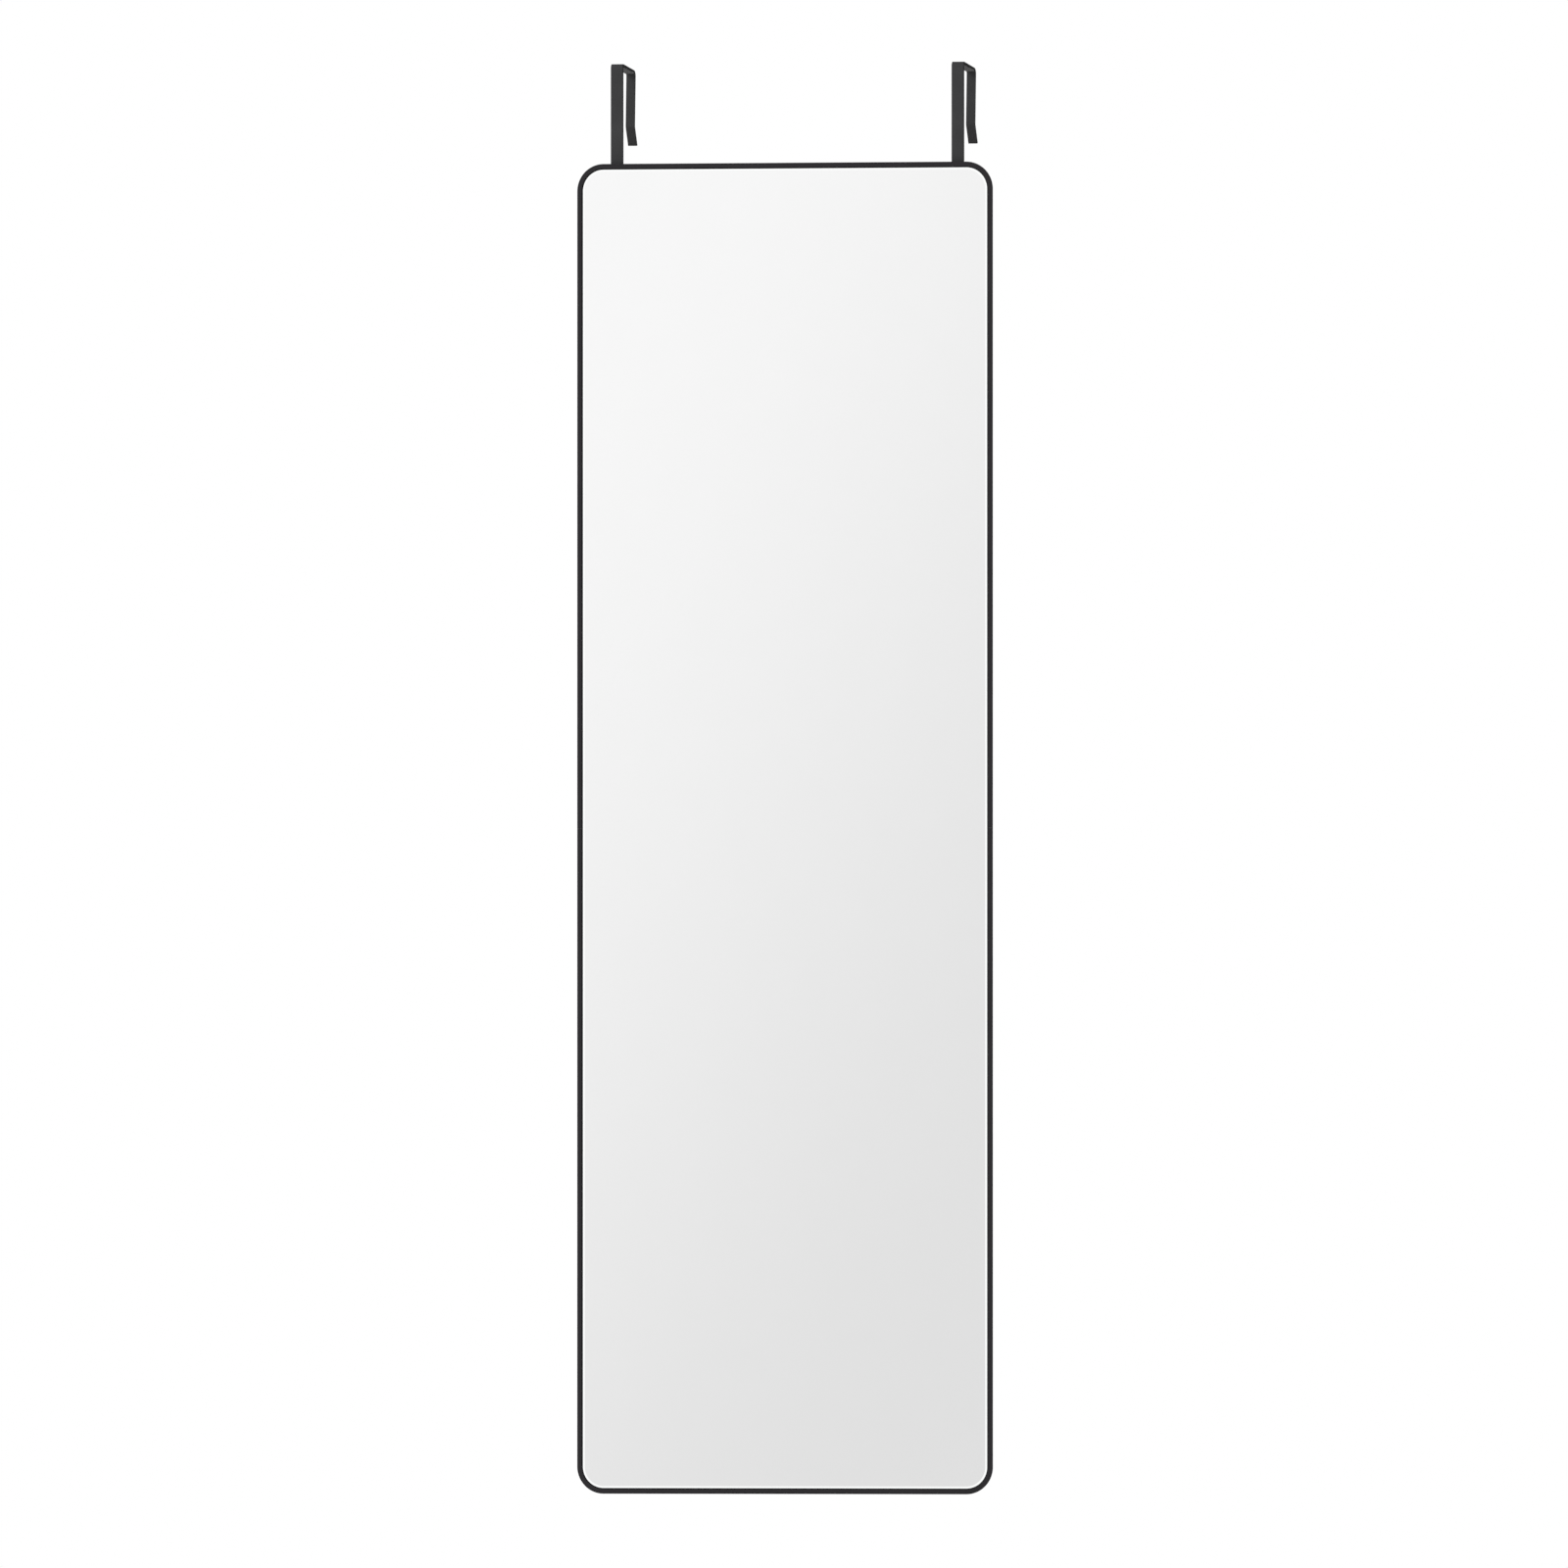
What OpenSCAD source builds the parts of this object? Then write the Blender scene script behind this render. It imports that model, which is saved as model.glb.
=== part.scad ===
// Over-the-door mirror: a rounded upright glass in a slim black frame, hung on two strap hooks
// whose height can be set.
//
// Frame of the model: +Z up, the glass faces -Y, lengths in millimetres.
// The origin is on the door's top front edge, midway between the hooks: the door's front
// face is the plane Y = 0, its top meets the seat pads at Z = 0.

/* [Mirror] */
// Overall width of the framed mirror
mirror_w = 410; // [300:1:700]
// Overall height of the framed mirror
mirror_h = 1270; // [900:1:1800]
// Outer radius of the frame's corners
corner_r = 26; // [18:1:60]

/* [Frame section] */
// Width of the frame seen from the front
face_w = 5.3; // [4.6:0.1:12]
// Wall thickness of the hollow bar
wall_t = 1; // [0.8:0.1:1.4]
// Round on the bar's outer front edge
rim_round = 0.8; // [0.3:0.1:1.4]
// Chamfer on the bar's inner front edge
inner_chamfer = 0.6; // [0.2:0.1:0.9]
// Height of the upright rim, in front of the sloping side
rim_h = 2; // [1.5:0.1:4]
// Slope of the side behind the rim, in degrees
side_draft = 16; // [0:1:18]
// Reach of the rear ledge in from the bar
ledge_reach = 6.4; // [5:0.1:14]
// Thickness of the rear ledge
ledge_t = 1; // [0.8:0.1:2]
// Gap where the two halves of the frame meet
seam_gap = 0.1; // [0.05:0.05:0.5]
// Length of the joiner key in each seam
key_len = 60; // [30:1:120]
// Gap between a joiner key and the bar's chamber
key_clear = 0.1; // [0.05:0.05:0.3]

/* [Glass and backing] */
// Thickness of the mirror glass
glass_t = 3; // [2:0.5:5]
// How far the glass lies behind the frame's front
glass_recess = 1; // [0.4:0.1:2]
// Width of the ground edge on the glass, seen from the front
arris_w = 1.1; // [0.4:0.1:3]
// Depth of the ground edge
arris_h = 0.5; // [0.2:0.1:1]
// Gap between the glass or the board and the frame
edge_gap = 0.2; // [0.2:0.1:1]
// Thickness of the safety film on the glass's back
film_t = 0.2; // [0.1:0.1:0.5]
// Distance of the film's edge in from the glass's edge
film_inset = 2; // [0:0.5:6]
// Thickness of the bonding tape
tape_t = 0.8; // [0.5:0.1:2]
// Width of one strip of bonding tape
tape_w = 25; // [12:1:50]
// Number of strips of bonding tape
tape_count = 3; // [2:1:6]
// Distance of the tape from the glass's edges
tape_inset = 24; // [10:1:60]
// Thickness of the backing board
board_t = 2.5; // [2.4:0.1:6]

/* [Hooks] */
// Drop from the door's top to the frame's top
hook_drop = 92; // [60:1:200]
// Width of the strap
strap_w = 11.5; // [9:0.1:25]
// Thickness of the strap
strap_t = 2; // [1.2:0.1:3]
// Width of the rear leg, which the bridge narrows to
leg_w = 8.8; // [6:0.1:25]
// Room for the door under the bridge
door_gap = 47; // [38:0.5:60]
// Slope of the unloaded bridge down to the back, in degrees
bridge_slope = 6; // [0:0.5:8]
// Lean of the unloaded rear leg towards the door, in degrees
leg_lean = 3; // [0:0.5:5]
// Inner radius of the front bend
front_bend_r = 2; // [1:0.5:6]
// Inner radius of the rear bend
rear_bend_r = 4; // [1:0.5:10]
// Length of the rear leg, from the bridge to the tail's bend
leg_len = 52; // [30:1:90]
// Length of the flared tail
tail_len = 20; // [8:1:40]
// Slope of the flared tail away from the door, in degrees
tail_flare = 27; // [5:1:45]
// Inner radius of the tail's bend
tail_bend_r = 4; // [1:0.5:8]

/* [Height setting] */
// Travel of a hook along its slot
hook_travel = 50; // [10:1:80]
// Diameter of the clamp screw's thread
clamp_d = 4; // [3:0.5:5]
// Diameter of the clamp screw's head
clamp_head_d = 8; // [7:0.5:10]
// Height of the clamp screw's head
clamp_head_h = 1.4; // [1:0.1:1.8]
// Distance of the clamp screw below the top of the bracket's plate
clamp_inset = 30; // [18:1:50]
// Play of a screw in a hole or slot that it passes through, on the diameter
screw_play = 0.4; // [0.2:0.1:1]
// Metal left around the slot's lower end
slot_end = 4; // [3:0.5:12]

/* [Brackets] */
// Gap between a bracket and the frame's ledge, and below the frame's round corner
bracket_gap = 5; // [0.5:0.5:60]
// Thickness of the bracket's sheet metal
bracket_t = 1; // [0.8:0.1:1.4]
// Height of the bracket's plate
bracket_h = 76; // [68:1:160]
// Width of each flange beside the sleeve
flange_w = 13; // [9:0.5:25]
// Distance of the sleeve's ends from the plate's ends
sleeve_inset = 4; // [0:0.5:10]
// Play of the strap in its sleeve, on each side
strap_gap = 0.3; // [0.2:0.05:0.8]
// Diameter of the clinch nut
nut_d = 8; // [7:0.5:12]
// Height of the clinch nut in front of the plate
nut_h = 2.2; // [1.5:0.1:2.3]
// Play of the clinch nut in the board's hole, on the diameter
nut_play = 0.4; // [0.2:0.1:1]
// Thread diameter of a bracket screw
bracket_screw_d = 3; // [2.5:0.1:3.5]
// Head diameter of a bracket screw
bracket_head_d = 6; // [5:0.5:7]
// Head height of a bracket screw
bracket_head_h = 1.6; // [1:0.1:2]
// How far a bracket screw bites into the board
bracket_bite = 2; // [1:0.1:2.3]
// Distance of a bracket screw from the plate's top or bottom
bracket_screw_inset = 8; // [6:0.5:15]

/* [Ledge screws] */
// Thread diameter of a ledge screw
ledge_screw_d = 2.5; // [2:0.1:2.8]
// Head diameter of a ledge screw
ledge_head_d = 4.6; // [4:0.1:4.8]
// Head height of a ledge screw
ledge_head_h = 1.2; // [0.8:0.1:2]
// How far a ledge screw bites into the board
ledge_bite = 2; // [1:0.1:2.3]
// Distance of the screws beside a seam from the seam
seam_screw_offset = 20; // [6:1:60]
// Distance of the end screws from the frame's corners
corner_screw_offset = 45; // [10:1:120]

/* [Pads and bumpers] */
// Thickness of the foam pad behind the strap, which stands the mirror off the door
pad_t = 3; // [3:0.1:8]
// How far the foam pad reaches down behind the frame's top edge
pad_tuck = 6; // [0:1:9]
// Thickness of the pad under the bridge
seat_t = 1.5; // [1:0.1:3]
// Distance of a pad's edges in from the strap's edges
pad_inset = 0.1; // [0.1:0.1:1.5]
// Gap between the pad under the bridge and the pad behind the strap
pad_gap = 0.5; // [0.3:0.1:3]
// Diameter of a lower bumper
bumper_d = 20; // [10:1:40]
// Round on the bumper's face
bumper_round = 1.5; // [0.5:0.1:2.5]
// Distance of a bumper's centre from the frame's side and bottom
bumper_inset = 34; // [32:1:90]

/* [Hidden] */
$fn = 96;
cut = 0.5; // overshoot of a cut past the face that it opens

// Colours
satin_black = "#302f31";
mill_aluminium = "#b9bbbd";
silvered_glass = "#eceeed";
film_white = "#d9dcdd";
tape_white = "#e9e7e0";
board_brown = "#5b4636";
zinc = "#a9abad";
foam_black = "#262627";
rubber_black = "#1d1d1e";

// Depths behind the frame's front plane
glass_back = glass_recess + glass_t;
film_back = glass_back + film_t;
tape_back = glass_back + film_t + tape_t;
board_back = tape_back + board_t;
frame_back = board_back + ledge_t;
strap_front_depth = board_back + max(ledge_t, bracket_t) + strap_gap;

// Planes across Y, from the door's front face at Y = 0
strap_back_y = -pad_t;
strap_front_y = strap_back_y - strap_t;
frame_front_y = strap_front_y - strap_front_depth;
board_back_y = frame_front_y + board_back;
ledge_back_y = frame_front_y + frame_back;
plate_back_y = board_back_y + bracket_t;
sleeve_in_y = strap_back_y + strap_gap;
sleeve_out_y = sleeve_in_y + bracket_t;

// Heights
frame_top_z = -hook_drop;
frame_mid_z = frame_top_z - mirror_h / 2;
frame_bottom_z = frame_top_z - mirror_h;
plate_top_z = frame_top_z - max(corner_r, face_w + ledge_reach) - bracket_gap;
clamp_z = plate_top_z - clamp_inset;

// Sheets inside the frame
panel_inset = face_w + edge_gap;
glass_w = mirror_w - 2 * panel_inset;
glass_h = mirror_h - 2 * panel_inset;
glass_r = corner_r - panel_inset;
tape_pitch = (glass_w - 2 * tape_inset - tape_w) / (tape_count - 1);

// Brackets
sleeve_w = strap_w + 2 * strap_gap + 2 * bracket_t;
plate_w = sleeve_w + 2 * flange_w;
flange_screw_x = (sleeve_w + flange_w) / 2;
flange_screw_z = [plate_top_z - bracket_screw_inset,
                  plate_top_z - bracket_h + bracket_screw_inset];

// Hooks, as [y, z] places on the strap's inner face. At a corner two straight parts would meet.
hook_x = mirror_w / 2 - face_w - ledge_reach - bracket_gap - plate_w / 2;
corner_1 = [strap_back_y, seat_t / cos(bridge_slope) + pad_t * tan(bridge_slope)];
corner_2 = [door_gap, corner_1[1] - (door_gap - strap_back_y) * tan(bridge_slope)];
corner_3 = corner_2 - leg_len * [sin(leg_lean), cos(leg_lean)];
tail_end = corner_3 + tail_len * [sin(tail_flare), -cos(tail_flare)];
bridge_len = norm(corner_2 - corner_1);
front_bend_len = front_bend_r * tan((90 + bridge_slope) / 2);
rear_bend_len = rear_bend_r * tan((90 + leg_lean - bridge_slope) / 2);
bend_steps = 12; // flats along each bend
slot_w = clamp_d + screw_play;
slot_top_z = clamp_z + slot_w / 2;
slot_bottom_z = slot_top_z - hook_travel - slot_w;
strap_end_z = slot_bottom_z - slot_end;
taper_start_y = strap_back_y + front_bend_r;
taper_end_y = door_gap - rear_bend_r;

// Ledge screws, as places on the frame laid flat: X across, Y along its height
ledge_line = face_w + edge_gap + (ledge_reach - edge_gap) / 2;
side_screw_x = mirror_w / 2 - ledge_line;
side_screw_end = mirror_h / 2 - corner_r - corner_screw_offset;
side_screw_y = [seam_screw_offset, (seam_screw_offset + side_screw_end) / 2, side_screw_end];
end_screw_x = mirror_w / 2 - corner_r - 2 * corner_screw_offset;
end_screw_y = mirror_h / 2 - ledge_line;
ledge_screw_places = concat(
    [for (side = [-1, 1], end = [-1, 1], y = side_screw_y) [side * side_screw_x, end * y]],
    [for (side = [-1, 1], end = [-1, 1]) [side * end_screw_x, end * end_screw_y]]
);

// ---------------------------------------------------------------- helpers

// Lifts what lies flat, front face up at Z = 0 and centred, to its place on the door.
module upright()
    translate([0, frame_front_y, frame_mid_z]) rotate([90, 0, 0]) children();

// Turns a strip drawn in the X-Y plane, its width along Z, to run up and over the door.
module across(width)
    translate([-width / 2, 0, 0]) rotate([90, 0, 90]) children();

// A round bar along Y, from y0 to y1.
module bar_y(d, y0, y1)
    translate([0, y1, 0]) rotate([90, 0, 0]) cylinder(d = d, h = y1 - y0);

// A screw pointing to the front: the head's underside at y = 0, a cross recess in its top.
module screw(thread_d, head_d, head_h, length) {
    recess_w = head_d * 0.14;
    recess_len = head_d * 0.55;
    recess_depth = head_h * 0.6;
    difference() {
        bar_y(head_d, 0, head_h);
        for (turn = [0, 90])
            rotate([0, turn, 0])
                translate([-recess_len / 2, head_h - recess_depth, -recess_w / 2])
                    cube([recess_len, recess_depth + cut, recess_w]);
    }
    bar_y(thread_d, -length, 0);
}

// A rounded rectangle with true arcs at its corners.
module rounded_outline(width, height, r) {
    square([width - 2 * r, height], center = true);
    square([width, height - 2 * r], center = true);
    for (x = [-1, 1], y = [-1, 1])
        translate([x * (width / 2 - r), y * (height / 2 - r)]) circle(r);
}

// A flat sheet between two depths.
module sheet(width, height, r, front, back)
    translate([0, 0, -back]) linear_extrude(back - front) rounded_outline(width, height, r);

// A straight stretch of a bar along +Y. Its section has its outer side at X = 0 and its
// front at Y = 0, and lies in X < 0, Y < 0.
module bar_side(length)
    translate([0, length, 0]) rotate([90, 0, 0]) linear_extrude(length) children();

// The same bar bent round a corner, from facing +X to facing +Y.
module bar_corner(r)
    rotate_extrude(angle = 90) translate([r, 0]) children();

// The upper U of a bar that runs round a rounded rectangle, cut off at seam above its middle.
module bar_half(width, height, r, seam) {
    translate([width / 2 - r, height / 2, 0]) rotate(90) bar_side(width - 2 * r) children();
    for (flip = [0, 1])
        mirror([flip, 0, 0]) {
            translate([width / 2, seam, 0]) bar_side(height / 2 - r - seam) children();
            translate([width / 2 - r, height / 2 - r, 0]) bar_corner(r) children();
        }
}

// A bar all the way round a rounded rectangle.
module bar_ring(width, height, r)
    for (flip = [0, 1]) {
        mirror([flip, 0, 0])
            translate([width / 2, r - height / 2, 0]) bar_side(height - 2 * r) children();
        mirror([0, flip, 0])
            translate([width / 2 - r, height / 2, 0]) rotate(90)
                bar_side(width - 2 * r) children();
        for (flop = [0, 1])
            mirror([flip, 0, 0]) mirror([0, flop, 0])
                translate([width / 2 - r, height / 2 - r, 0]) bar_corner(r) children();
    }

// ---------------------------------------------------------------- frame

// How far the sloping side has leaned in at a depth.
function lean(depth) = max(0, depth - rim_h) * tan(side_draft);

chamber_front = wall_t;
chamber_back = board_back;

// The hollow bar with its rear ledge: across from the outer side, down from the front.
module bar_section() {
    round_points = [for (a = [0:15:90])
        [-rim_round * (1 - sin(a)), -rim_round * (1 - cos(a))]];
    difference() {
        polygon(concat(
            [[-face_w + inner_chamfer, 0]],
            round_points,
            [[0, -rim_h],
             [-lean(frame_back), -frame_back],
             [-face_w - ledge_reach, -frame_back],
             [-face_w - ledge_reach, -board_back],
             [-face_w, -board_back],
             [-face_w, -inner_chamfer]]));
        chamber_section(0);
    }
}

// The bar's chamber, or a key that fills it less a gap all round.
module chamber_section(gap) {
    outer_wall = wall_t / cos(side_draft) + gap;
    polygon([
        [-face_w + wall_t + gap, -chamber_front - gap],
        [-outer_wall, -chamber_front - gap],
        [-outer_wall, -rim_h],
        [-outer_wall - lean(chamber_back), -chamber_back + gap],
        [-face_w + wall_t + gap, -chamber_back + gap]
    ]);
}

module frame_half()
    color(satin_black)
        difference() {
            bar_half(mirror_w, mirror_h, corner_r, seam_gap / 2) bar_section();
            for (place = ledge_screw_places)
                translate([place[0], place[1], -frame_back - cut])
                    cylinder(d = ledge_screw_d + screw_play, h = ledge_t + 2 * cut);
        }

module frame_upper() upright() frame_half();

module frame_lower() upright() mirror([0, 1, 0]) frame_half();

// A key inside the bar's chamber, across one seam.
module joiner_key(side)
    color(mill_aluminium)
        upright()
            mirror([side < 0 ? 1 : 0, 0, 0])
                translate([mirror_w / 2, -key_len / 2, 0])
                    bar_side(key_len) chamber_section(key_clear);

module joiner_key_left() joiner_key(-1);

module joiner_key_right() joiner_key(1);

// Small screws through the rear ledge into the board.
module ledge_screws()
    color(zinc)
        for (place = ledge_screw_places)
            translate([place[0], ledge_back_y, frame_mid_z + place[1]])
                screw(ledge_screw_d, ledge_head_d, ledge_head_h, ledge_t + ledge_bite);

// ---------------------------------------------------------------- glass and backing

module arris_section()
    polygon([
        [-arris_w, -glass_recess],
        [0, -glass_recess - arris_h],
        [0, -glass_back],
        [-arris_w, -glass_back]
    ]);

// Silvered glass: a flat sheet with a narrow ground edge all round its front.
module mirror_glass()
    color(silvered_glass)
        upright() {
            sheet(glass_w - 2 * arris_w, glass_h - 2 * arris_w, glass_r - arris_w,
                  glass_recess, glass_back);
            bar_ring(glass_w, glass_h, glass_r) arris_section();
        }

module safety_film()
    color(film_white)
        upright()
            sheet(glass_w - 2 * film_inset, glass_h - 2 * film_inset, glass_r - film_inset,
                  glass_back, film_back);

// Upright strips of double-sided foam tape between the film and the board.
module bonding_tape()
    color(tape_white)
        upright()
            for (i = [0:tape_count - 1])
                translate([-glass_w / 2 + tape_inset + i * tape_pitch,
                           -glass_h / 2 + tape_inset, -tape_back])
                    cube([tape_w, glass_h - 2 * tape_inset, tape_t]);

module backing_board()
    color(board_brown)
        difference() {
            upright() sheet(glass_w, glass_h, glass_r, tape_back, board_back);
            for (place = ledge_screw_places)
                translate([place[0], 0, frame_mid_z + place[1]])
                    bar_y(ledge_screw_d, board_back_y - ledge_bite, board_back_y + cut);
            for (side = [-1, 1])
                translate([side * hook_x, 0, 0]) {
                    translate([0, 0, clamp_z])
                        bar_y(nut_d + nut_play, board_back_y - board_t - cut, board_back_y + cut);
                    for (x = [-1, 1], z = flange_screw_z)
                        translate([x * flange_screw_x, 0, z])
                            bar_y(bracket_screw_d, board_back_y - bracket_bite,
                                  board_back_y + cut);
                }
        }

// ---------------------------------------------------------------- brackets

// A plate on the board, its top edge against the frame's ledge, with a sleeve for the strap.
module bracket()
    color(satin_black)
        difference() {
            union() {
                translate([-plate_w / 2, board_back_y, plate_top_z - bracket_h])
                    cube([plate_w, bracket_t, bracket_h]);
                translate([-sleeve_w / 2, board_back_y, plate_top_z - bracket_h + sleeve_inset])
                    cube([sleeve_w, sleeve_out_y - board_back_y, bracket_h - 2 * sleeve_inset]);
            }
            translate([-strap_w / 2 - strap_gap, plate_back_y,
                       plate_top_z - bracket_h + sleeve_inset - cut])
                cube([strap_w + 2 * strap_gap, sleeve_in_y - plate_back_y,
                      bracket_h - 2 * sleeve_inset + 2 * cut]);
            translate([0, 0, clamp_z])
                bar_y(slot_w, board_back_y - cut, sleeve_out_y + cut);
            for (x = [-1, 1], z = flange_screw_z)
                translate([x * flange_screw_x, 0, z])
                    bar_y(bracket_screw_d + screw_play, board_back_y - cut, plate_back_y + cut);
        }

module bracket_screws()
    color(zinc)
        for (x = [-1, 1], z = flange_screw_z)
            translate([x * flange_screw_x, plate_back_y, z])
                screw(bracket_screw_d, bracket_head_d, bracket_head_h,
                      bracket_t + bracket_bite);

// A threaded nut pressed into the plate, in a hole through the board.
module clinch_nut()
    color(zinc)
        translate([0, 0, clamp_z])
            difference() {
                bar_y(nut_d, board_back_y - nut_h, board_back_y);
                bar_y(clamp_d, board_back_y - nut_h - cut, board_back_y + cut);
            }

// Passes the sleeve, the strap's slot and the plate, and threads into the clinch nut.
module clamp_screw()
    color(zinc)
        translate([0, sleeve_out_y, clamp_z])
            screw(clamp_d, clamp_head_d, clamp_head_h, sleeve_out_y - board_back_y + nut_h);

module left_bracket() translate([-hook_x, 0, 0]) bracket();

module right_bracket() translate([hook_x, 0, 0]) bracket();

module left_bracket_screws() translate([-hook_x, 0, 0]) bracket_screws();

module right_bracket_screws() translate([hook_x, 0, 0]) bracket_screws();

module left_clinch_nut() translate([-hook_x, 0, 0]) clinch_nut();

module right_clinch_nut() translate([hook_x, 0, 0]) clinch_nut();

module left_clamp_screw() translate([-hook_x, 0, 0]) clamp_screw();

module right_clamp_screw() translate([hook_x, 0, 0]) clamp_screw();

// ---------------------------------------------------------------- bumpers

// A round rubber bumper on the board, as deep as the mirror stands off the door.
module bumper()
    color(rubber_black)
        translate([0, board_back_y, frame_bottom_z + bumper_inset])
            rotate([-90, 0, 0])
                rotate_extrude() {
                    square([bumper_d / 2, -board_back_y - bumper_round]);
                    square([bumper_d / 2 - bumper_round, -board_back_y]);
                    translate([bumper_d / 2 - bumper_round, -board_back_y - bumper_round])
                        intersection() {
                            circle(bumper_round);
                            square(bumper_round);
                        }
                }

module left_bumper() translate([-mirror_w / 2 + bumper_inset, 0, 0]) bumper();

module right_bumper() translate([mirror_w / 2 - bumper_inset, 0, 0]) bumper();

// ---------------------------------------------------------------- hooks

// The direction at an angle, in the plane of a strip.
function heading(angle) = [cos(angle), sin(angle)];

// One face of a strip round a corner, from heading a to heading b, at a distance out from the
// inner face. A positive radius bends it towards its inner face, a negative one away.
function bend(corner, a, b, r, out) =
    let (centre = corner - abs(r) * tan(abs(b - a) / 2) * heading(a) - r * heading(a + 90))
    [for (i = [0:bend_steps]) centre + (r + out) * heading(a + (b - a) * i / bend_steps + 90)];

// One face of the strap: up the door's front, over its top and down its back.
function strap_face(out) = concat(
    [[strap_back_y - out, strap_end_z + strap_w / 2]],
    bend(corner_1, 90, -bridge_slope, front_bend_r, out),
    bend(corner_2, -bridge_slope, -90 - leg_lean, rear_bend_r, out),
    bend(corner_3, -90 - leg_lean, tail_flare - 90, -tail_bend_r - strap_t, out),
    [tail_end + out * heading(tail_flare)]
);

// The bent strap at full width.
module bent_strap() {
    outer_face = strap_face(strap_t);
    linear_extrude(strap_w)
        polygon(concat(strap_face(0), [for (i = [len(outer_face) - 1:-1:0]) outer_face[i]]));
}

// The strap from above: full width in front of the door, narrowing over the bridge.
module strap_plan() {
    far_y = tail_end[0] + strap_t + cut;
    near_y = strap_front_y - cut;
    polygon([
        [-strap_w / 2, near_y], [strap_w / 2, near_y],
        [strap_w / 2, taper_start_y], [leg_w / 2, taper_end_y], [leg_w / 2, far_y],
        [-leg_w / 2, far_y], [-leg_w / 2, taper_end_y], [-strap_w / 2, taper_start_y]
    ]);
}

// A slot for the clamp screw, with round ends.
module clamp_slot()
    translate([0, 0, slot_bottom_z + slot_w / 2]) {
        for (z = [0, hook_travel])
            translate([0, 0, z]) bar_y(slot_w, strap_front_y - cut, strap_back_y + cut);
        translate([-slot_w / 2, strap_front_y - cut, 0])
            cube([slot_w, strap_t + 2 * cut, hook_travel]);
    }

module hook()
    color(satin_black)
        difference() {
            union() {
                intersection() {
                    across(strap_w) bent_strap();
                    translate([0, 0, strap_end_z])
                        linear_extrude(corner_1[1] + 2 * strap_t - strap_end_z) strap_plan();
                }
                translate([0, 0, strap_end_z + strap_w / 2])
                    bar_y(strap_w, strap_front_y, strap_back_y);
            }
            clamp_slot();
        }

// Foam on the strap's back, from the front bend down to just behind the frame's top.
module strap_pad() {
    top_z = corner_1[1] - front_bend_len;
    bottom_z = frame_top_z - pad_tuck;
    color(foam_black)
        translate([-strap_w / 2 + pad_inset, strap_back_y, bottom_z])
            cube([strap_w - 2 * pad_inset, pad_t, top_z - bottom_z]);
}

// Foam under the bridge, between the two bends, square to the bridge.
module seat_pad() {
    start = max((pad_t + pad_gap) / cos(bridge_slope) + seat_t * tan(bridge_slope),
                front_bend_len);
    length = bridge_len - rear_bend_len - start;
    width = leg_w - 2 * pad_inset;
    color(foam_black)
        translate([-width / 2, corner_1[0], corner_1[1]])
            rotate([-bridge_slope, 0, 0])
                translate([0, start, -seat_t])
                    cube([width, length, seat_t]);
}

module left_hook() translate([-hook_x, 0, 0]) hook();

module right_hook() translate([hook_x, 0, 0]) hook();

module left_strap_pad() translate([-hook_x, 0, 0]) strap_pad();

module right_strap_pad() translate([hook_x, 0, 0]) strap_pad();

module left_seat_pad() translate([-hook_x, 0, 0]) seat_pad();

module right_seat_pad() translate([hook_x, 0, 0]) seat_pad();

// ---------------------------------------------------------------- nodes

frame_upper();
frame_lower();
joiner_key_left();
joiner_key_right();
ledge_screws();
mirror_glass();
safety_film();
bonding_tape();
backing_board();
left_bracket();
left_bracket_screws();
left_clinch_nut();
left_clamp_screw();
right_bracket();
right_bracket_screws();
right_clinch_nut();
right_clamp_screw();
left_bumper();
right_bumper();
left_hook();
left_strap_pad();
left_seat_pad();
right_hook();
right_strap_pad();
right_seat_pad();
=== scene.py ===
"""An over-the-door mirror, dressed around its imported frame.

Sizes inside the build functions are in millimetres, in the frame's own axes: +Z up, the glass
faces -Y, and the door's front face is the plane Y = 0. A finished mesh is scaled to metres, and
the stage is made in metres.
"""

import math

import bmesh
import bpy
from bmesh.types import BMEdge, BMFace, BMVert
from bpy.props import FloatProperty, FloatVectorProperty, PointerProperty
from bpy.types import Operator, Panel, PropertyGroup
from mathutils import Matrix, Vector


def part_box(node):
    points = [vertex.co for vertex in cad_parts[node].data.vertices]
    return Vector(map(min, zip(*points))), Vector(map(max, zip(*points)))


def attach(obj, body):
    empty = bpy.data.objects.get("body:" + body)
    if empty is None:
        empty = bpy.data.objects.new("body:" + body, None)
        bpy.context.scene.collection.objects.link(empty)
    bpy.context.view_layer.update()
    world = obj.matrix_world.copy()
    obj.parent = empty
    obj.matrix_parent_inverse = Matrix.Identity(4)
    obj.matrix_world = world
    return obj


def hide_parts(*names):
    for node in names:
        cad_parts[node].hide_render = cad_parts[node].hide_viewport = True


bl_info = {
    "name": "Over-the-door mirror",
    "version": (1, 0, 0),
    "blender": (4, 5, 0),
    "location": "3D View > Sidebar > Mirror",
    "description": "Builds the looks of an over-the-door mirror around its frame",
    "category": "Object",
}

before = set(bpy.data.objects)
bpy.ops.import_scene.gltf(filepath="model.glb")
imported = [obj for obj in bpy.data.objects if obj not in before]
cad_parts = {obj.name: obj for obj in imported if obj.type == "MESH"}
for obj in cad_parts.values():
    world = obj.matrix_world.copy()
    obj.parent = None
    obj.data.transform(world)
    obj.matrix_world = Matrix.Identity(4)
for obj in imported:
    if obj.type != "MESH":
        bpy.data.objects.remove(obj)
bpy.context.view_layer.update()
MM = 0.001
SIDES = ("left", "right")
FOUR_WAYS = [(x, z) for x in (-1, 1) for z in (-1, 1)]
NEAR_HALF = 0.499  # of a width: the round of an end, which may not use up the whole edge


# ------------------------------------------------------------------ settings

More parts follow.
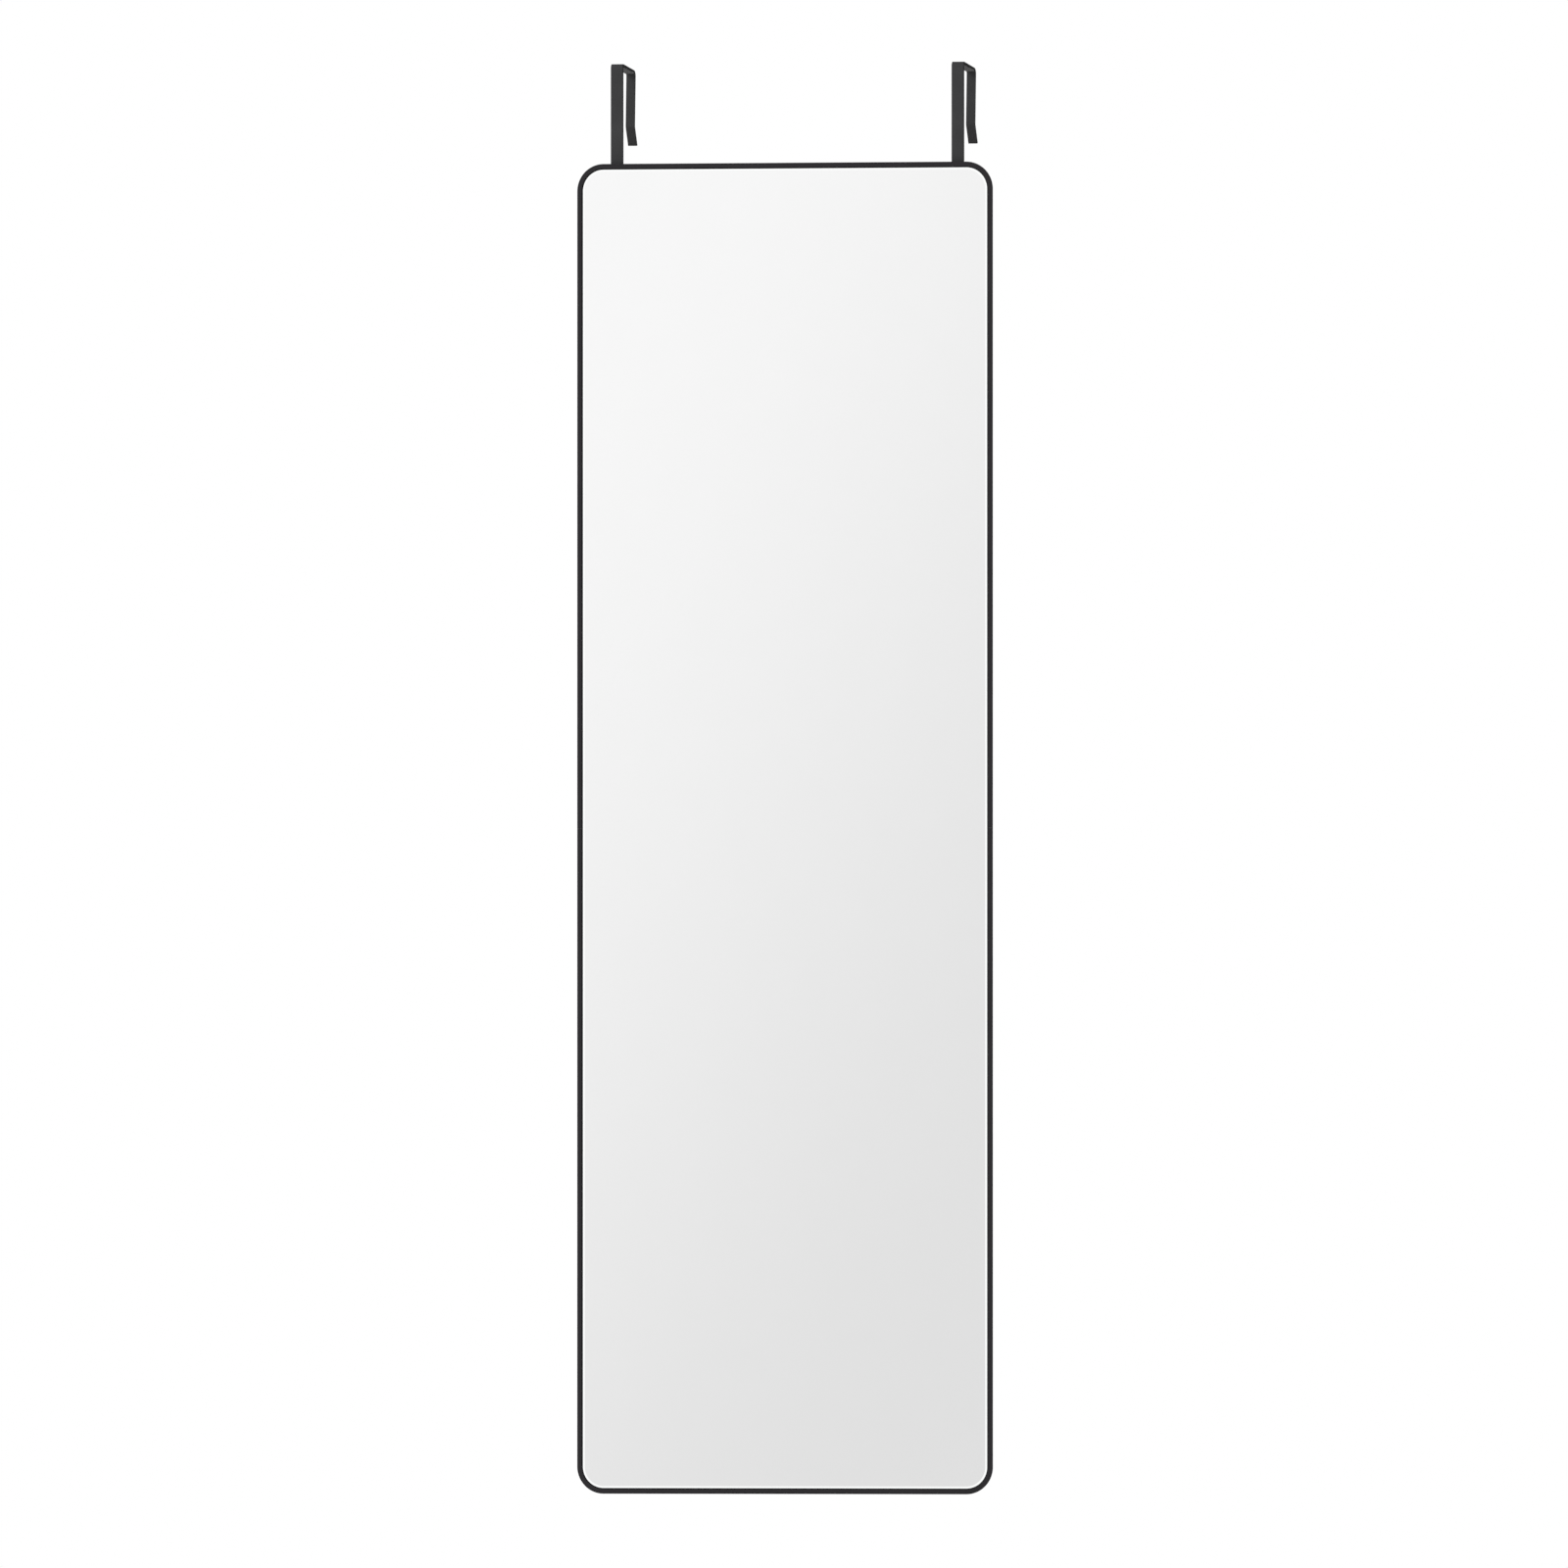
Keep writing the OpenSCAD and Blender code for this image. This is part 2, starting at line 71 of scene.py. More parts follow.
def linear(hex_colour):
    """The linear RGBA of an sRGB hex colour."""
    channels = [int(hex_colour[i:i + 2], 16) / 255 for i in (1, 3, 5)]
    return [c / 12.92 if c <= 0.04045 else ((c + 0.055) / 1.055) ** 2.4 for c in channels] + [1.0]


def size(name, millimetres, description, least=0.0):
    """A length setting, given in millimetres."""
    return FloatProperty(name=name, description=description, default=millimetres * MM,
                         min=least * MM, precision=5, unit="LENGTH")


def angle(name, degrees, description):
    """An angle setting, given in degrees."""
    return FloatProperty(name=name, description=description, default=math.radians(degrees),
                         subtype="ANGLE")


def colour(name, hex_colour, description):
    """A colour setting, given as sRGB hex."""
    return FloatVectorProperty(name=name, description=description, default=linear(hex_colour),
                               size=4, min=0.0, max=1.0, subtype="COLOR")


def share(name, value, description):
    """A setting from 0 to 1."""
    return FloatProperty(name=name, description=description, default=value,
                         min=0.0, max=1.0, subtype="FACTOR")


class FrameSettings(PropertyGroup):
    """The bent bar that runs round the glass, and what it holds."""

    face_w: size("Face width", 5.3, "Width of the bar seen from the front")
    wall: size("Wall", 1.0, "Wall thickness of the hollow bar")
    rim_round: size("Rim round", 0.8, "Round on the bar's outer front edge")
    inner_round: size("Inner round", 0.35, "Round on the bar's inner front edge")
    reveal_w: size("Reveal width", 0.8, "Width of the dark step between the bar and the glass")
    reveal_h: size("Reveal depth", 2.4, "Depth of that step below the bar's front")
    rim_h: size("Rim height", 2.0, "Upright rim in front of the sloping side")
    draft: angle("Side slope", 16.0, "Slope of the side behind the rim")
    side_round: size("Side round", 0.4, "Round between the rim and the sloping side")
    back_round: size("Back round", 0.25, "Round on the bar's rear edges")
    ledge: size("Ledge", 6.4, "Reach of the rear ledge in from the bar")
    corner_r: size("Corner radius", 26.0, "Outer radius of the frame's corners")
    arris_w: size("Ground edge width", 1.9, "Width of the ground edge on the glass")
    arris_h: size("Ground edge depth", 0.23, "Depth of the ground edge on the glass")
    screw_head: size("Ledge screw head", 4.6, "Width of the heads of the ledge's screws")
    screw_thread: size("Ledge screw thread", 2.5, "Width of their threads")
    seam_reach: size("Seam screw reach", 20.0, "From a seam to the screws beside it")
    screw_pitch: size("Screw spacing", 272.0, "Between the three screws of a side's half")
    end_reach: size("End screw reach", 89.0, "From the middle of an end to its screws")
    coat: colour("Frame coat", "#282629", "Satin black powder coat on the bar")
    silver: colour("Silvering", "#f8f8f8", "Silvered face of the glass")
    board: colour("Board", "#755b43", "Hardboard behind the glass")


class HookSettings(PropertyGroup):
    """The strap hooks, their brackets, pads and bumpers."""

    leg_w: size("Leg width", 8.8, "Width of the rear leg, which the bridge narrows to")
    strap_t: size("Strap thickness", 2.0, "Thickness of the strap")
    edge_r: size("Strap edge round", 0.3, "Round on the strap's edges")
    slot_w: size("Slot width", 4.4, "Width of the slot for the clamp screw")
    slot_len: size("Slot length", 54.4, "Length of the slot for the clamp screw")
    slot_end: size("Slot end", 4.0, "Metal left below the slot")
    door_gap: size("Door gap", 47.0, "Room for the door under the bridge")
    slope: angle("Bridge slope", 6.0, "Slope of the unloaded bridge down to the back")
    lean: angle("Leg lean", 3.0, "Lean of the unloaded rear leg towards the door")
    front_r: size("Front bend", 2.0, "Inner radius of the front bend")
    rear_r: size("Rear bend", 4.0, "Inner radius of the rear bend")
    tail_r: size("Tail bend", 4.0, "Inner radius of the tail's bend")
    leg_len: size("Leg length", 52.0, "From the bridge to the tail's bend")
    tail_len: size("Tail length", 20.0, "Length of the flared tail")
    flare: angle("Flare", 27.0, "Slope of the tail away from the door")
    plate_r: size("Plate corner", 4.0, "Radius of the bracket plate's corners")
    sleeve_w: size("Sleeve width", 14.1, "Outer width of the bracket's sleeve")
    sleeve_r: size("Sleeve bend", 1.2, "Outer radius of the sleeve's bends")
    sleeve_inset: size("Sleeve inset", 4.0, "From the sleeve's ends to the plate's ends")
    sheet_r: size("Sheet edge round", 0.15, "Round on the bracket's edges")
    flange_head: size("Flange screw head", 6.0, "Width of the heads of the plate's screws")
    flange_thread: size("Flange screw thread", 3.0, "Width of their threads")
    clamp_thread: size("Clamp screw thread", 4.0, "Width of the clamp screw's thread")
    seat_t: size("Seat pad", 1.5, "Thickness of the pad under the bridge")
    pad_gap: size("Pad gap", 0.5, "Between the pad under the bridge and the strap's pad")
    pad_r: size("Pad round", 0.5, "Round on a foam pad's cut edges")
    pad_corner: size("Pad corner", 0.8, "Radius of a foam pad's corners")
    pad_waist: share("Pad waist", 0.985, "A foam pad's width half way through, against its faces'")
    bumper_round: size("Bumper round", 1.5, "Round on the bumper's face")
    bumper_dish: size("Bumper dish", 0.6, "Depth of the dish in the bumper's face")
    coat: colour("Strap coat", "#424243", "Satin black powder coat on the steel strip")
    # painted shade: a darker copy of the strap coat for the strip's side faces, standing in for
    # the shade they fall in
    painted_shade_edge_coat: colour("Strap edge coat", "#161617", "The coat on the strip's sheared edges")
    foam: colour("Strap foam", "#151516", "Closed-cell foam behind the straps")
    # painted light: the foam under the bridges is made much lighter than the same foam behind the
    # straps, standing in for light on the bridge's underside
    seat_foam_painted_light: colour("Bridge foam", "#606061", "Closed-cell foam under the bridges")
    rubber: colour("Rubber", "#19191a", "Moulded rubber bumpers")


class StageSettings(PropertyGroup):
    """The camera, the soft light and the floor."""

    azimuth: angle("Azimuth", 14.9, "How far round to the right the camera stands")
    elevation: angle("Elevation", -0.6, "How far above the horizon the camera stands")
    distance: size("Distance", 40000.0, "From the camera to the point it looks at")
    field: size("Field", 1496.3, "Width of the view at that point")
    aim_x: size("Aim across", -4.1, "Where the camera looks, across", least=-1000.0)
    aim_z: size("Aim up", -684.6, "Where the camera looks, up", least=-2000.0)
    door_h: size("Door height", 2030.0, "From the floor to the door's top")
    floor_r: size("Floor radius", 2200.0, "Radius of the floor")
    lamp_away: size("Lamp distance", 4500.0, "From the glass to each lamp")
    lamp_d: size("Lamp width", 2800.0, "Width of each round lamp")
    panel_away: size("Panel distance", 2500.0, "From the door's front to the soft light panel")
    panel_edge: size("Panel edge", 350.0, "Reach of the panel past what the glass shows of it")
    ambient: share("Room light", 0.5, "Brightness of the soft light from all round")
    light_tone: colour("Light tone", "#ffffff", "Lightest tone that the glass reflects")
    dark_tone: colour("Dark tone", "#e6e6e6", "Darkest tone that the glass reflects")
    floor: colour("Floor", "#eceae7", "Pale floor")


# ------------------------------------------------------------------ node materials

def add_node(tree, kind, inputs=None, **settings):
    """Adds a node. An input takes a constant, a socket, or a node, whose first output feeds it."""
    node = tree.nodes.new(kind)
    for name, value in settings.items():
        setattr(node, name, value)
    for name, value in (inputs or {}).items():
        socket = node.inputs[name] if isinstance(name, int) else next(
            s for s in node.inputs if s.name == name and s.enabled)
        if isinstance(value, bpy.types.Node):
            value = next(s for s in value.outputs if s.enabled)
        if isinstance(value, bpy.types.NodeSocket):
            tree.links.new(value, socket)
        else:
            socket.default_value = value
    return node


def per_mm(millimetres):
    """A texture's scale for a pattern that repeats in that many millimetres."""
    return 1 / (millimetres * MM)


def shade(rgba, factor):
    """A colour made darker or lighter."""
    return [min(1.0, c * factor) for c in rgba[:3]] + [1.0]


def start_material(name):
    """An empty node material, its tree, and its Object coordinates."""
    material = bpy.data.materials.new(name)
    material.use_nodes = True
    tree = material.node_tree
    tree.nodes.clear()
    return material, tree, add_node(tree, "ShaderNodeTexCoord").outputs["Object"]


def finish_material(tree, mottle, colours, roughness, height, depth, under=None, **constants):
    """Ends a material. A mottle, which stays near 0.5, mixes its two colours and its two
    roughnesses, and a height gives it a relief that many millimetres deep."""
    mix = add_node(tree, "ShaderNodeMapRange", {"Value": mottle, "From Min": 0.3, "From Max": 0.7})
    base = add_node(tree, "ShaderNodeMix", {"Factor": mix, "A": colours[0], "B": colours[1]},
                    data_type="RGBA")
    rough = add_node(tree, "ShaderNodeMapRange",
                     {"Value": mix, "To Min": roughness[0], "To Max": roughness[1]})
    relief = add_node(tree, "ShaderNodeBump", {"Height": height, "Distance": depth * MM})
    if under:
        tree.links.new(under.outputs["Normal"], relief.inputs["Normal"])
    inputs = {"Base Color": base, "Roughness": rough, "Normal": relief}
    inputs.update({name.replace("_", " "): value for name, value in constants.items()})
    shader = add_node(tree, "ShaderNodeBsdfPrincipled", inputs)
    add_node(tree, "ShaderNodeOutputMaterial", {"Surface": shader})


def grained_material(name, colours, grains, roughness, depth, kind="ShaderNodeTexNoise",
                     drawn_out=1, **constants):
    """A material with a pattern for its mottle and one for its relief, or one for both. The
    grains are their sizes in millimetres, and a scale below 1 draws them out upwards."""
    material, tree, place = start_material(name)
    if drawn_out < 1:
        place = add_node(tree, "ShaderNodeMapping", {"Vector": place, "Scale": (1, 1, drawn_out)})
    patterns = [add_node(tree, kind, {"Vector": place, "Scale": per_mm(grain)})
                for grain in grains]
    finish_material(tree, patterns[0], colours, roughness, patterns[-1], depth, **constants)
    return material


def powder_coat(name, rgba, gloss, shine):
    """Polyester powder coat, sprayed and baked: satin black over a fine orange peel, whose
    waves are about 1.5 mm. The powder's own grain is near 0.1 mm, and is drawn at 0.45 mm,
    which just shows."""
    material, tree, place = start_material(name)
    cloud = add_node(tree, "ShaderNodeTexNoise", {"Vector": place, "Scale": per_mm(24)})
    peel = add_node(tree, "ShaderNodeTexNoise", {"Vector": place, "Scale": per_mm(1.5)})
    powder = add_node(tree, "ShaderNodeTexNoise", {"Vector": place, "Scale": per_mm(0.45)})
    waves = add_node(tree, "ShaderNodeBump", {"Height": peel, "Distance": 0.08 * MM})
    specks = add_node(tree, "ShaderNodeMix", {"Factor": 0.55, "A": cloud, "B": powder})
    finish_material(tree, specks, (shade(rgba, 0.8), shade(rgba, 1.2)), gloss, powder,
                    depth=0.035, under=waves, Specular_IOR_Level=shine)
    return material


def silvered_float_glass(rgba):
    """Silver behind float glass: nearly all light comes back sharp. A trace of haze in clouds of
    35 mm and the float's shallow waves, 160 mm long, keep it from being perfect."""
    return grained_material("silvered_float_glass", (shade(rgba, 0.995), rgba), grains=(35, 160),
                            roughness=(0.012, 0.03), depth=0.003, Metallic=1.0)


def ground_glass_edge():
    """A narrow edge ground at a shallow slope and silvered behind: bright, a little hazed. The
    grit's lines are finer than 0.1 mm, and are drawn at 0.4 mm, which just shows."""
    return grained_material("ground_glass_edge", (linear("#fafcfb"), linear("#ffffff")),
                            grains=(0.4,), roughness=(0.06, 0.12), depth=0.002, Metallic=1.0)


def cut_glass_side():
    """The glass's side: green with iron, dulled by the cutting wheel's streaks of 1.6 mm."""
    return grained_material("cut_glass_side", (linear("#6f9483"), linear("#a9c4b8")),
                            grains=(1.6,), roughness=(0.25, 0.5), depth=0.02)


def mirror_backing_paint():
    """Grey protective paint rolled on over the silver: dull, with long faint streaks 3 mm wide."""
    return grained_material("mirror_backing_paint", (linear("#5d6462"), linear("#6d7472")),
                            grains=(3,), roughness=(0.65, 0.75), depth=0.01, drawn_out=0.08)


def mill_aluminium():
    """Extruded aluminium, uncoated: bright grey, with die lines 0.3 mm apart along it."""
    return grained_material("mill_aluminium", (linear("#b5b7b9"), linear("#d5d7d8")),
                            grains=(0.3,), roughness=(0.28, 0.42), depth=0.004, drawn_out=0.03,
                            Metallic=1.0)


def bright_zinc_plate():
    """Bright zinc on steel: bluish silver, with clouds of 1.2 mm and scuffs of 0.25 mm from its
    tumbling."""
    return grained_material("bright_zinc_plate", (linear("#a3a7ac"), linear("#c3c6c9")),
                            grains=(1.2, 0.25), roughness=(0.22, 0.38), depth=0.004, Metallic=1.0)


def screen_back_hardboard(rgba):
    """Wet-pressed hardboard, screen side out: brown fibres of 0.7 mm, gathered in clouds of
    35 mm, under the print of the wire screen, whose wires are 1.6 mm apart."""
    material, tree, place = start_material("screen_back_hardboard")
    axes = add_node(tree, "ShaderNodeSeparateXYZ", {"Vector": place})
    wires = []
    for axis in ("X", "Z"):
        phase = add_node(tree, "ShaderNodeMath",
                         {0: axes.outputs[axis], 1: 2 * math.pi * per_mm(1.6)},
                         operation="MULTIPLY")
        wires.append(add_node(tree, "ShaderNodeMath", {0: phase}, operation="SINE"))
    screen = add_node(tree, "ShaderNodeMath", {0: wires[0], 1: wires[1]}, operation="MULTIPLY")
    fibres = add_node(tree, "ShaderNodeTexNoise",
                      {"Vector": place, "Scale": per_mm(0.7), "Detail": 6.0})
    cloud = add_node(tree, "ShaderNodeTexNoise",
                     {"Vector": place, "Scale": per_mm(35), "Detail": 8.0, "Roughness": 0.7})
    both = add_node(tree, "ShaderNodeMix", {"Factor": 0.2, "A": fibres, "B": cloud})
    felt = add_node(tree, "ShaderNodeBump", {"Height": fibres, "Distance": 0.12 * MM})
    finish_material(tree, both, (shade(rgba, 0.5), shade(rgba, 1.5)), (0.72, 0.9), screen,
                    depth=0.14, under=felt, Specular_IOR_Level=0.3)
    return material


def polyethylene_film():
    """Thin polyethylene safety film: milky, with stretch marks 6 mm apart."""
    return grained_material("polyethylene_film", (linear("#cfd3d4"), linear("#e0e3e4")),
                            grains=(6,), roughness=(0.3, 0.4), depth=0.02)


def white_foam_tape():
    """White polyethylene foam tape: matt, with closed cells of 0.4 mm."""
    return grained_material("white_foam_tape", (linear("#d8d5cc"), linear("#eeece6")),
                            grains=(0.4,), roughness=(0.85, 0.95), depth=0.05,
                            kind="ShaderNodeTexVoronoi")


def cut_eva_foam(name, rgba):
    """Cut EVA foam: dull, pitted with opened cells of 0.5 mm."""
    return grained_material(name, (shade(rgba, 0.7), shade(rgba, 1.5)), grains=(0.5,),
                            roughness=(0.88, 0.96), depth=0.08, kind="ShaderNodeTexVoronoi",
                            Specular_IOR_Level=0.2)


def moulded_rubber(rgba):
    """Moulded rubber: near black, with a pale bloom in clouds of 4 mm and a spark-eroded texture
    of 0.3 mm."""
    return grained_material("moulded_rubber", (rgba, shade(rgba, 1.7)), grains=(4, 0.3),
                            roughness=(0.6, 0.8), depth=0.04)


# ------------------------------------------------------------------ mesh helpers

def box_mm(node):
    """A node's lowest and highest corner, in millimetres."""
    low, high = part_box(node)
    return low / MM, high / MM


def side_of(node):
    return node.split("_")[0]


def of_kind(geom, kind):
    return [g for g in geom if isinstance(g, kind)]


def flat_outline(bm, corners, segments=6):
    """A flat face. Each corner is a place and the length that its round takes off."""
    known = set(bm.faces)
    verts = [bm.verts.new(place) for place, _ in corners]
    bm.faces.new(verts)
    for vert, (_, cut) in zip(verts, corners):
        if cut:
            bmesh.ops.bevel(bm, geom=[vert], offset=cut, offset_type="OFFSET", profile=0.5,
                            segments=segments, affect="VERTICES", material=-1)
    return [face for face in bm.faces if face not in known][0]


def rectangle(low, high, y, radius):
    """An upright rounded rectangle's corners, from its lowest to its highest x and z."""
    return [((low.x, y, low.z), radius), ((high.x, y, low.z), radius),
            ((high.x, y, high.z), radius), ((low.x, y, high.z), radius)]


def with_edges(geom):
    """Faces with their edges, without which an extrusion leaves the first faces inside."""
    return geom + list({edge for face in of_kind(geom, BMFace) for edge in face.edges})


def open_faces(bm, faces):
    """Deletes faces, but keeps their edges and gives them."""
    edges = list({edge for face in faces for edge in face.edges})
    bmesh.ops.delete(bm, geom=faces, context="FACES_ONLY")
    return edges


def draw_edges(bm, edges, move):
    """Draws loops of edges along a vector, and gives the new ends."""
    grown = bmesh.ops.extrude_edge_only(bm, edges=edges)["geom"]
    bmesh.ops.translate(bm, verts=of_kind(grown, BMVert), vec=move)
    return [edge for edge in of_kind(grown, BMEdge) if edge.is_boundary]


def swing(bm, geom, centre, axis, radians, steps):
    """Carries faces or loops of edges round an axis, and gives the new ends."""
    return bmesh.ops.spin(bm, geom=with_edges(geom), cent=centre, axis=axis, dvec=(0, 0, 0),
                          angle=radians, steps=steps, use_merge=False, use_normal_flip=False,
                          use_duplicate=False)["geom_last"]


def push(bm, faces, move, widths=None):
    """Extrudes faces along a vector, scales the new end about its centre, and gives it."""
    grown = bmesh.ops.extrude_face_region(bm, geom=with_edges(faces))["geom"]
    verts = of_kind(grown, BMVert)
    bmesh.ops.translate(bm, verts=verts, vec=move)
    if widths:
        centre = sum((v.co for v in verts), Vector()) / len(verts)
        bmesh.ops.scale(bm, verts=verts, vec=widths, space=Matrix.Translation(-centre))
    return of_kind(grown, BMFace)


def turned(bm, profile, place, steps):
    """Turns a profile of radius and depth round an axis along Y through a place."""
    verts = [bm.verts.new((place[0] + radius, place[1] + depth, place[2]))
             for radius, depth in profile]
    edges = [bm.edges.new(pair) for pair in zip(verts, verts[1:])]
    bmesh.ops.spin(bm, geom=verts + edges, cent=place, axis=(0, 1, 0), dvec=(0, 0, 0),
                   angle=2 * math.pi, steps=steps, use_merge=True, use_normal_flip=False,
                   use_duplicate=False)


def soften(bm, radius, segments=2, sharper_than=35.0):
    """Rounds the sharp edges."""
    edges = [edge for edge in bm.edges if edge.is_manifold
             and edge.calc_face_angle() > math.radians(sharper_than)]
    bmesh.ops.bevel(bm, geom=edges, offset=radius, offset_type="OFFSET", segments=segments,
                    profile=0.5, affect="EDGES", material=-1, clamp_overlap=True)


def add_object(bm, name, materials):
    """Makes a mesh in metres an object of the scene."""
    mesh = bpy.data.meshes.new(name)
    bm.to_mesh(mesh)
    bm.free()
    for material in materials:
        mesh.materials.append(material)
    thing = bpy.data.objects.new(name, mesh)
    bpy.context.scene.collection.objects.link(thing)
    return thing


def finish_piece(bm, name, body, node, materials, smooth_below=35.0):
    """Makes a millimetre mesh a piece at the origin, which rides on its body."""
    bmesh.ops.remove_doubles(bm, verts=bm.verts, dist=0.0005)
    bmesh.ops.recalc_face_normals(bm, faces=bm.faces)
    bmesh.ops.scale(bm, verts=bm.verts, vec=(MM, MM, MM))
    for face in bm.faces:
        face.smooth = True
    piece = add_object(bm, name, materials)
    piece.data.set_sharp_from_angle(angle=math.radians(smooth_below))
    flats = piece.modifiers.new("even_flats", "WEIGHTED_NORMAL")
    flats.keep_sharp = True
    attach(piece, body)
    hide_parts(node)
    return piece


def dress(node, material):
    """Gives a carried-over node its material."""
    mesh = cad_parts[node].data
    mesh.materials.clear()
    mesh.materials.append(material)


# ------------------------------------------------------------------ frame and glass

def bar_loops(bm, s, outer_x, z):
    """The hollow bar's two loops of edges, flat at height z, its outer side at outer_x."""
    front, back = (corner.y for corner in box_mm("frame_upper"))
    board_back = box_mm("backing_board")[1].y
    face_w = s.face_w / MM
    wall = s.wall / MM
    rim_y = front + s.rim_h / MM
    slope = math.tan(s.draft)
    side_wall = wall / math.cos(s.draft)
    reveal_x = -face_w + s.reveal_w / MM
    reveal_y = front + s.reveal_h / MM
    outline = flat_outline(bm, [((outer_x + x, y, z), cut) for x, y, cut in (
        (reveal_x, front, s.inner_round / MM),
        (0, front, s.rim_round / MM),
        (0, rim_y, s.side_round / MM),
        (-(back - rim_y) * slope, back, s.back_round / MM),
        (-face_w - s.ledge / MM, back, s.back_round / MM),
        (-face_w - s.ledge / MM, board_back, s.back_round / MM),
        (-face_w, board_back, 0),
        (-face_w, reveal_y, 0),
        (reveal_x, reveal_y, 0),
    )], segments=4)
    off_level = 0.02  # keeps the chamber's back off the ledge's level, or a seam face has no area
    chamber_back = board_back - off_level
    chamber = flat_outline(bm, [((outer_x + x, y, z), 0) for x, y in (
        (-face_w + wall, front + wall),
        (-side_wall, front + wall),
        (-side_wall, rim_y),
        (-side_wall - (chamber_back - rim_y) * slope, chamber_back),
        (-face_w + wall, chamber_back),
    )])
    return open_faces(bm, [outline, chamber])


def build_frame_half(s, name, node, coat):
    """One U of the hollow bar: from its seam along one side, round two bends, and back to its
    other seam."""
    low, high = box_mm(node)
    upper = node == "frame_upper"
    outer_end, seam_end, up = (high.z, low.z, 1) if upper else (low.z, high.z, -1)
    corner_r = s.corner_r / MM
    across = Vector((-(high.x - low.x - 2 * corner_r), 0, 0))
    rise = Vector((0, 0, outer_end - seam_end - up * corner_r))
    bend_z = outer_end - up * corner_r
    bm = bmesh.new()
    loops = bar_loops(bm, s, high.x, seam_end)
    ends = [loops]
    loops = draw_edges(bm, loops, rise)
    for centre_x, straight in ((high.x - corner_r, across), (low.x + corner_r, -rise)):
        centre = (centre_x, 0, bend_z)
        bent = swing(bm, loops, centre, (0, -up, 0), math.pi / 2, steps=24)
        loops = draw_edges(bm, of_kind(bent, BMEdge), straight)
    ends.append(loops)
    for loops in ends:
        bmesh.ops.triangle_fill(bm, edges=loops, use_beauty=False)
    finish_piece(bm, name, "mirror", node, [coat], smooth_below=28)


def build_glass(s, name, node, materials):
    """The glass, with a narrow ground edge round its front."""
    silvered, ground, cut, painted = range(4)  # the materials, in order
    low, high = box_mm(node)
    radius = s.corner_r / MM - (box_mm("frame_upper")[1].x - high.x)
    bm = bmesh.new()
    back = flat_outline(bm, rectangle(low, high, high.y, radius), segments=24)
    depth = high.y - low.y - s.arris_h / MM
    front = push(bm, [back], (0, -depth, 0))
    bmesh.ops.recalc_face_normals(bm, faces=bm.faces)
    ring = bmesh.ops.inset_region(bm, faces=front, thickness=s.arris_w / MM,
                                  depth=s.arris_h / MM, use_even_offset=True)["faces"]
    for face in bm.faces:
        at_back = face.calc_center_median().y > high.y - s.arris_h / MM / 2
        face.material_index = painted if at_back else cut
    for face in ring:
        face.material_index = ground
    front[0].material_index = silvered
    finish_piece(bm, name, "mirror", node, materials, smooth_below=5)


# ------------------------------------------------------------------ brackets and fasteners

def build_bracket(s, name, node, coat):
    """A plate with round corners, and a sleeve of bent strip welded to it."""
    low, high = box_mm(node)
    board_back = box_mm("backing_board")[1].y
    plate_back = box_mm("frame_upper")[1].y
    plate_t = plate_back - board_back
    middle = (low.x + high.x) / 2
    bm = bmesh.new()
    plate = flat_outline(bm, rectangle(low, high, board_back, s.plate_r / MM))
    push(bm, [plate], (0, plate_t, 0))
    half = s.sleeve_w / MM / 2
    inner = half - plate_t
    bend = s.sleeve_r / MM
    sunk = plate_back - plate_t / 4  # the sleeve's feet, welded a little into the plate
    bottom = low.z + s.sleeve_inset / MM
    top = high.z - s.sleeve_inset / MM
    sleeve = flat_outline(bm, [((middle + x, y, bottom), cut) for x, y, cut in (
        (-half, sunk, 0), (-half, high.y, bend), (half, high.y, bend), (half, sunk, 0),
        (inner, sunk, 0), (inner, high.y - plate_t, bend - plate_t),
        (-inner, high.y - plate_t, bend - plate_t), (-inner, sunk, 0),
    )])
    push(bm, [sleeve], (0, 0, top - bottom))
    soften(bm, s.sheet_r / MM)
    finish_piece(bm, name, "mirror", node, [coat])


def pan_head_screw(bm, head_d, head_h, thread_d, length):
    """A screw at the origin that points to the front, with a cross recess in its head."""
    shank = [(thread_d * 0.15, -length), (thread_d / 2, thread_d * 0.6 - length),
             (thread_d / 2, 0)]
    # the pan head's radius and height, as shares of its width and height
    pan = ((0.5, 0), (0.5, 0.3), (0.485, 0.55), (0.44, 0.78), (0.385, 0.93), (0.32, 1))
    turned(bm, shank + [(head_d * out, head_h * up) for out, up in pan], (0, 0, 0), steps=24)
    rims = [edge for edge in bm.edges if edge.is_boundary]
    tip = [edge for edge in rims if edge.verts[0].co.y < 0]
    crown = [edge for edge in rims if edge.verts[0].co.y > 0]
    bmesh.ops.edgeloop_fill(bm, edges=tip)
    arm_w = head_d * 0.07
    arm_end = head_d * 0.275
    recess_h = head_h * 0.6
    taper = 0.72
    quarter = [(arm_w, arm_w), (arm_w, arm_end), (-arm_w, arm_end)]
    points = []
    for _ in range(4):
        points += quarter
        quarter = [(-z, x) for x, z in quarter]
    cross = flat_outline(bm, [((x, head_h, z), 0) for x, z in points])
    mouth = open_faces(bm, [cross])
    bmesh.ops.triangle_fill(bm, edges=crown + mouth, use_beauty=True)
    floor = draw_edges(bm, mouth, (0, -recess_h, 0))
    verts = list({vert for edge in floor for vert in edge.verts})
    bmesh.ops.scale(bm, verts=verts, vec=(taper, 1, taper))
    bmesh.ops.edgeloop_fill(bm, edges=floor)


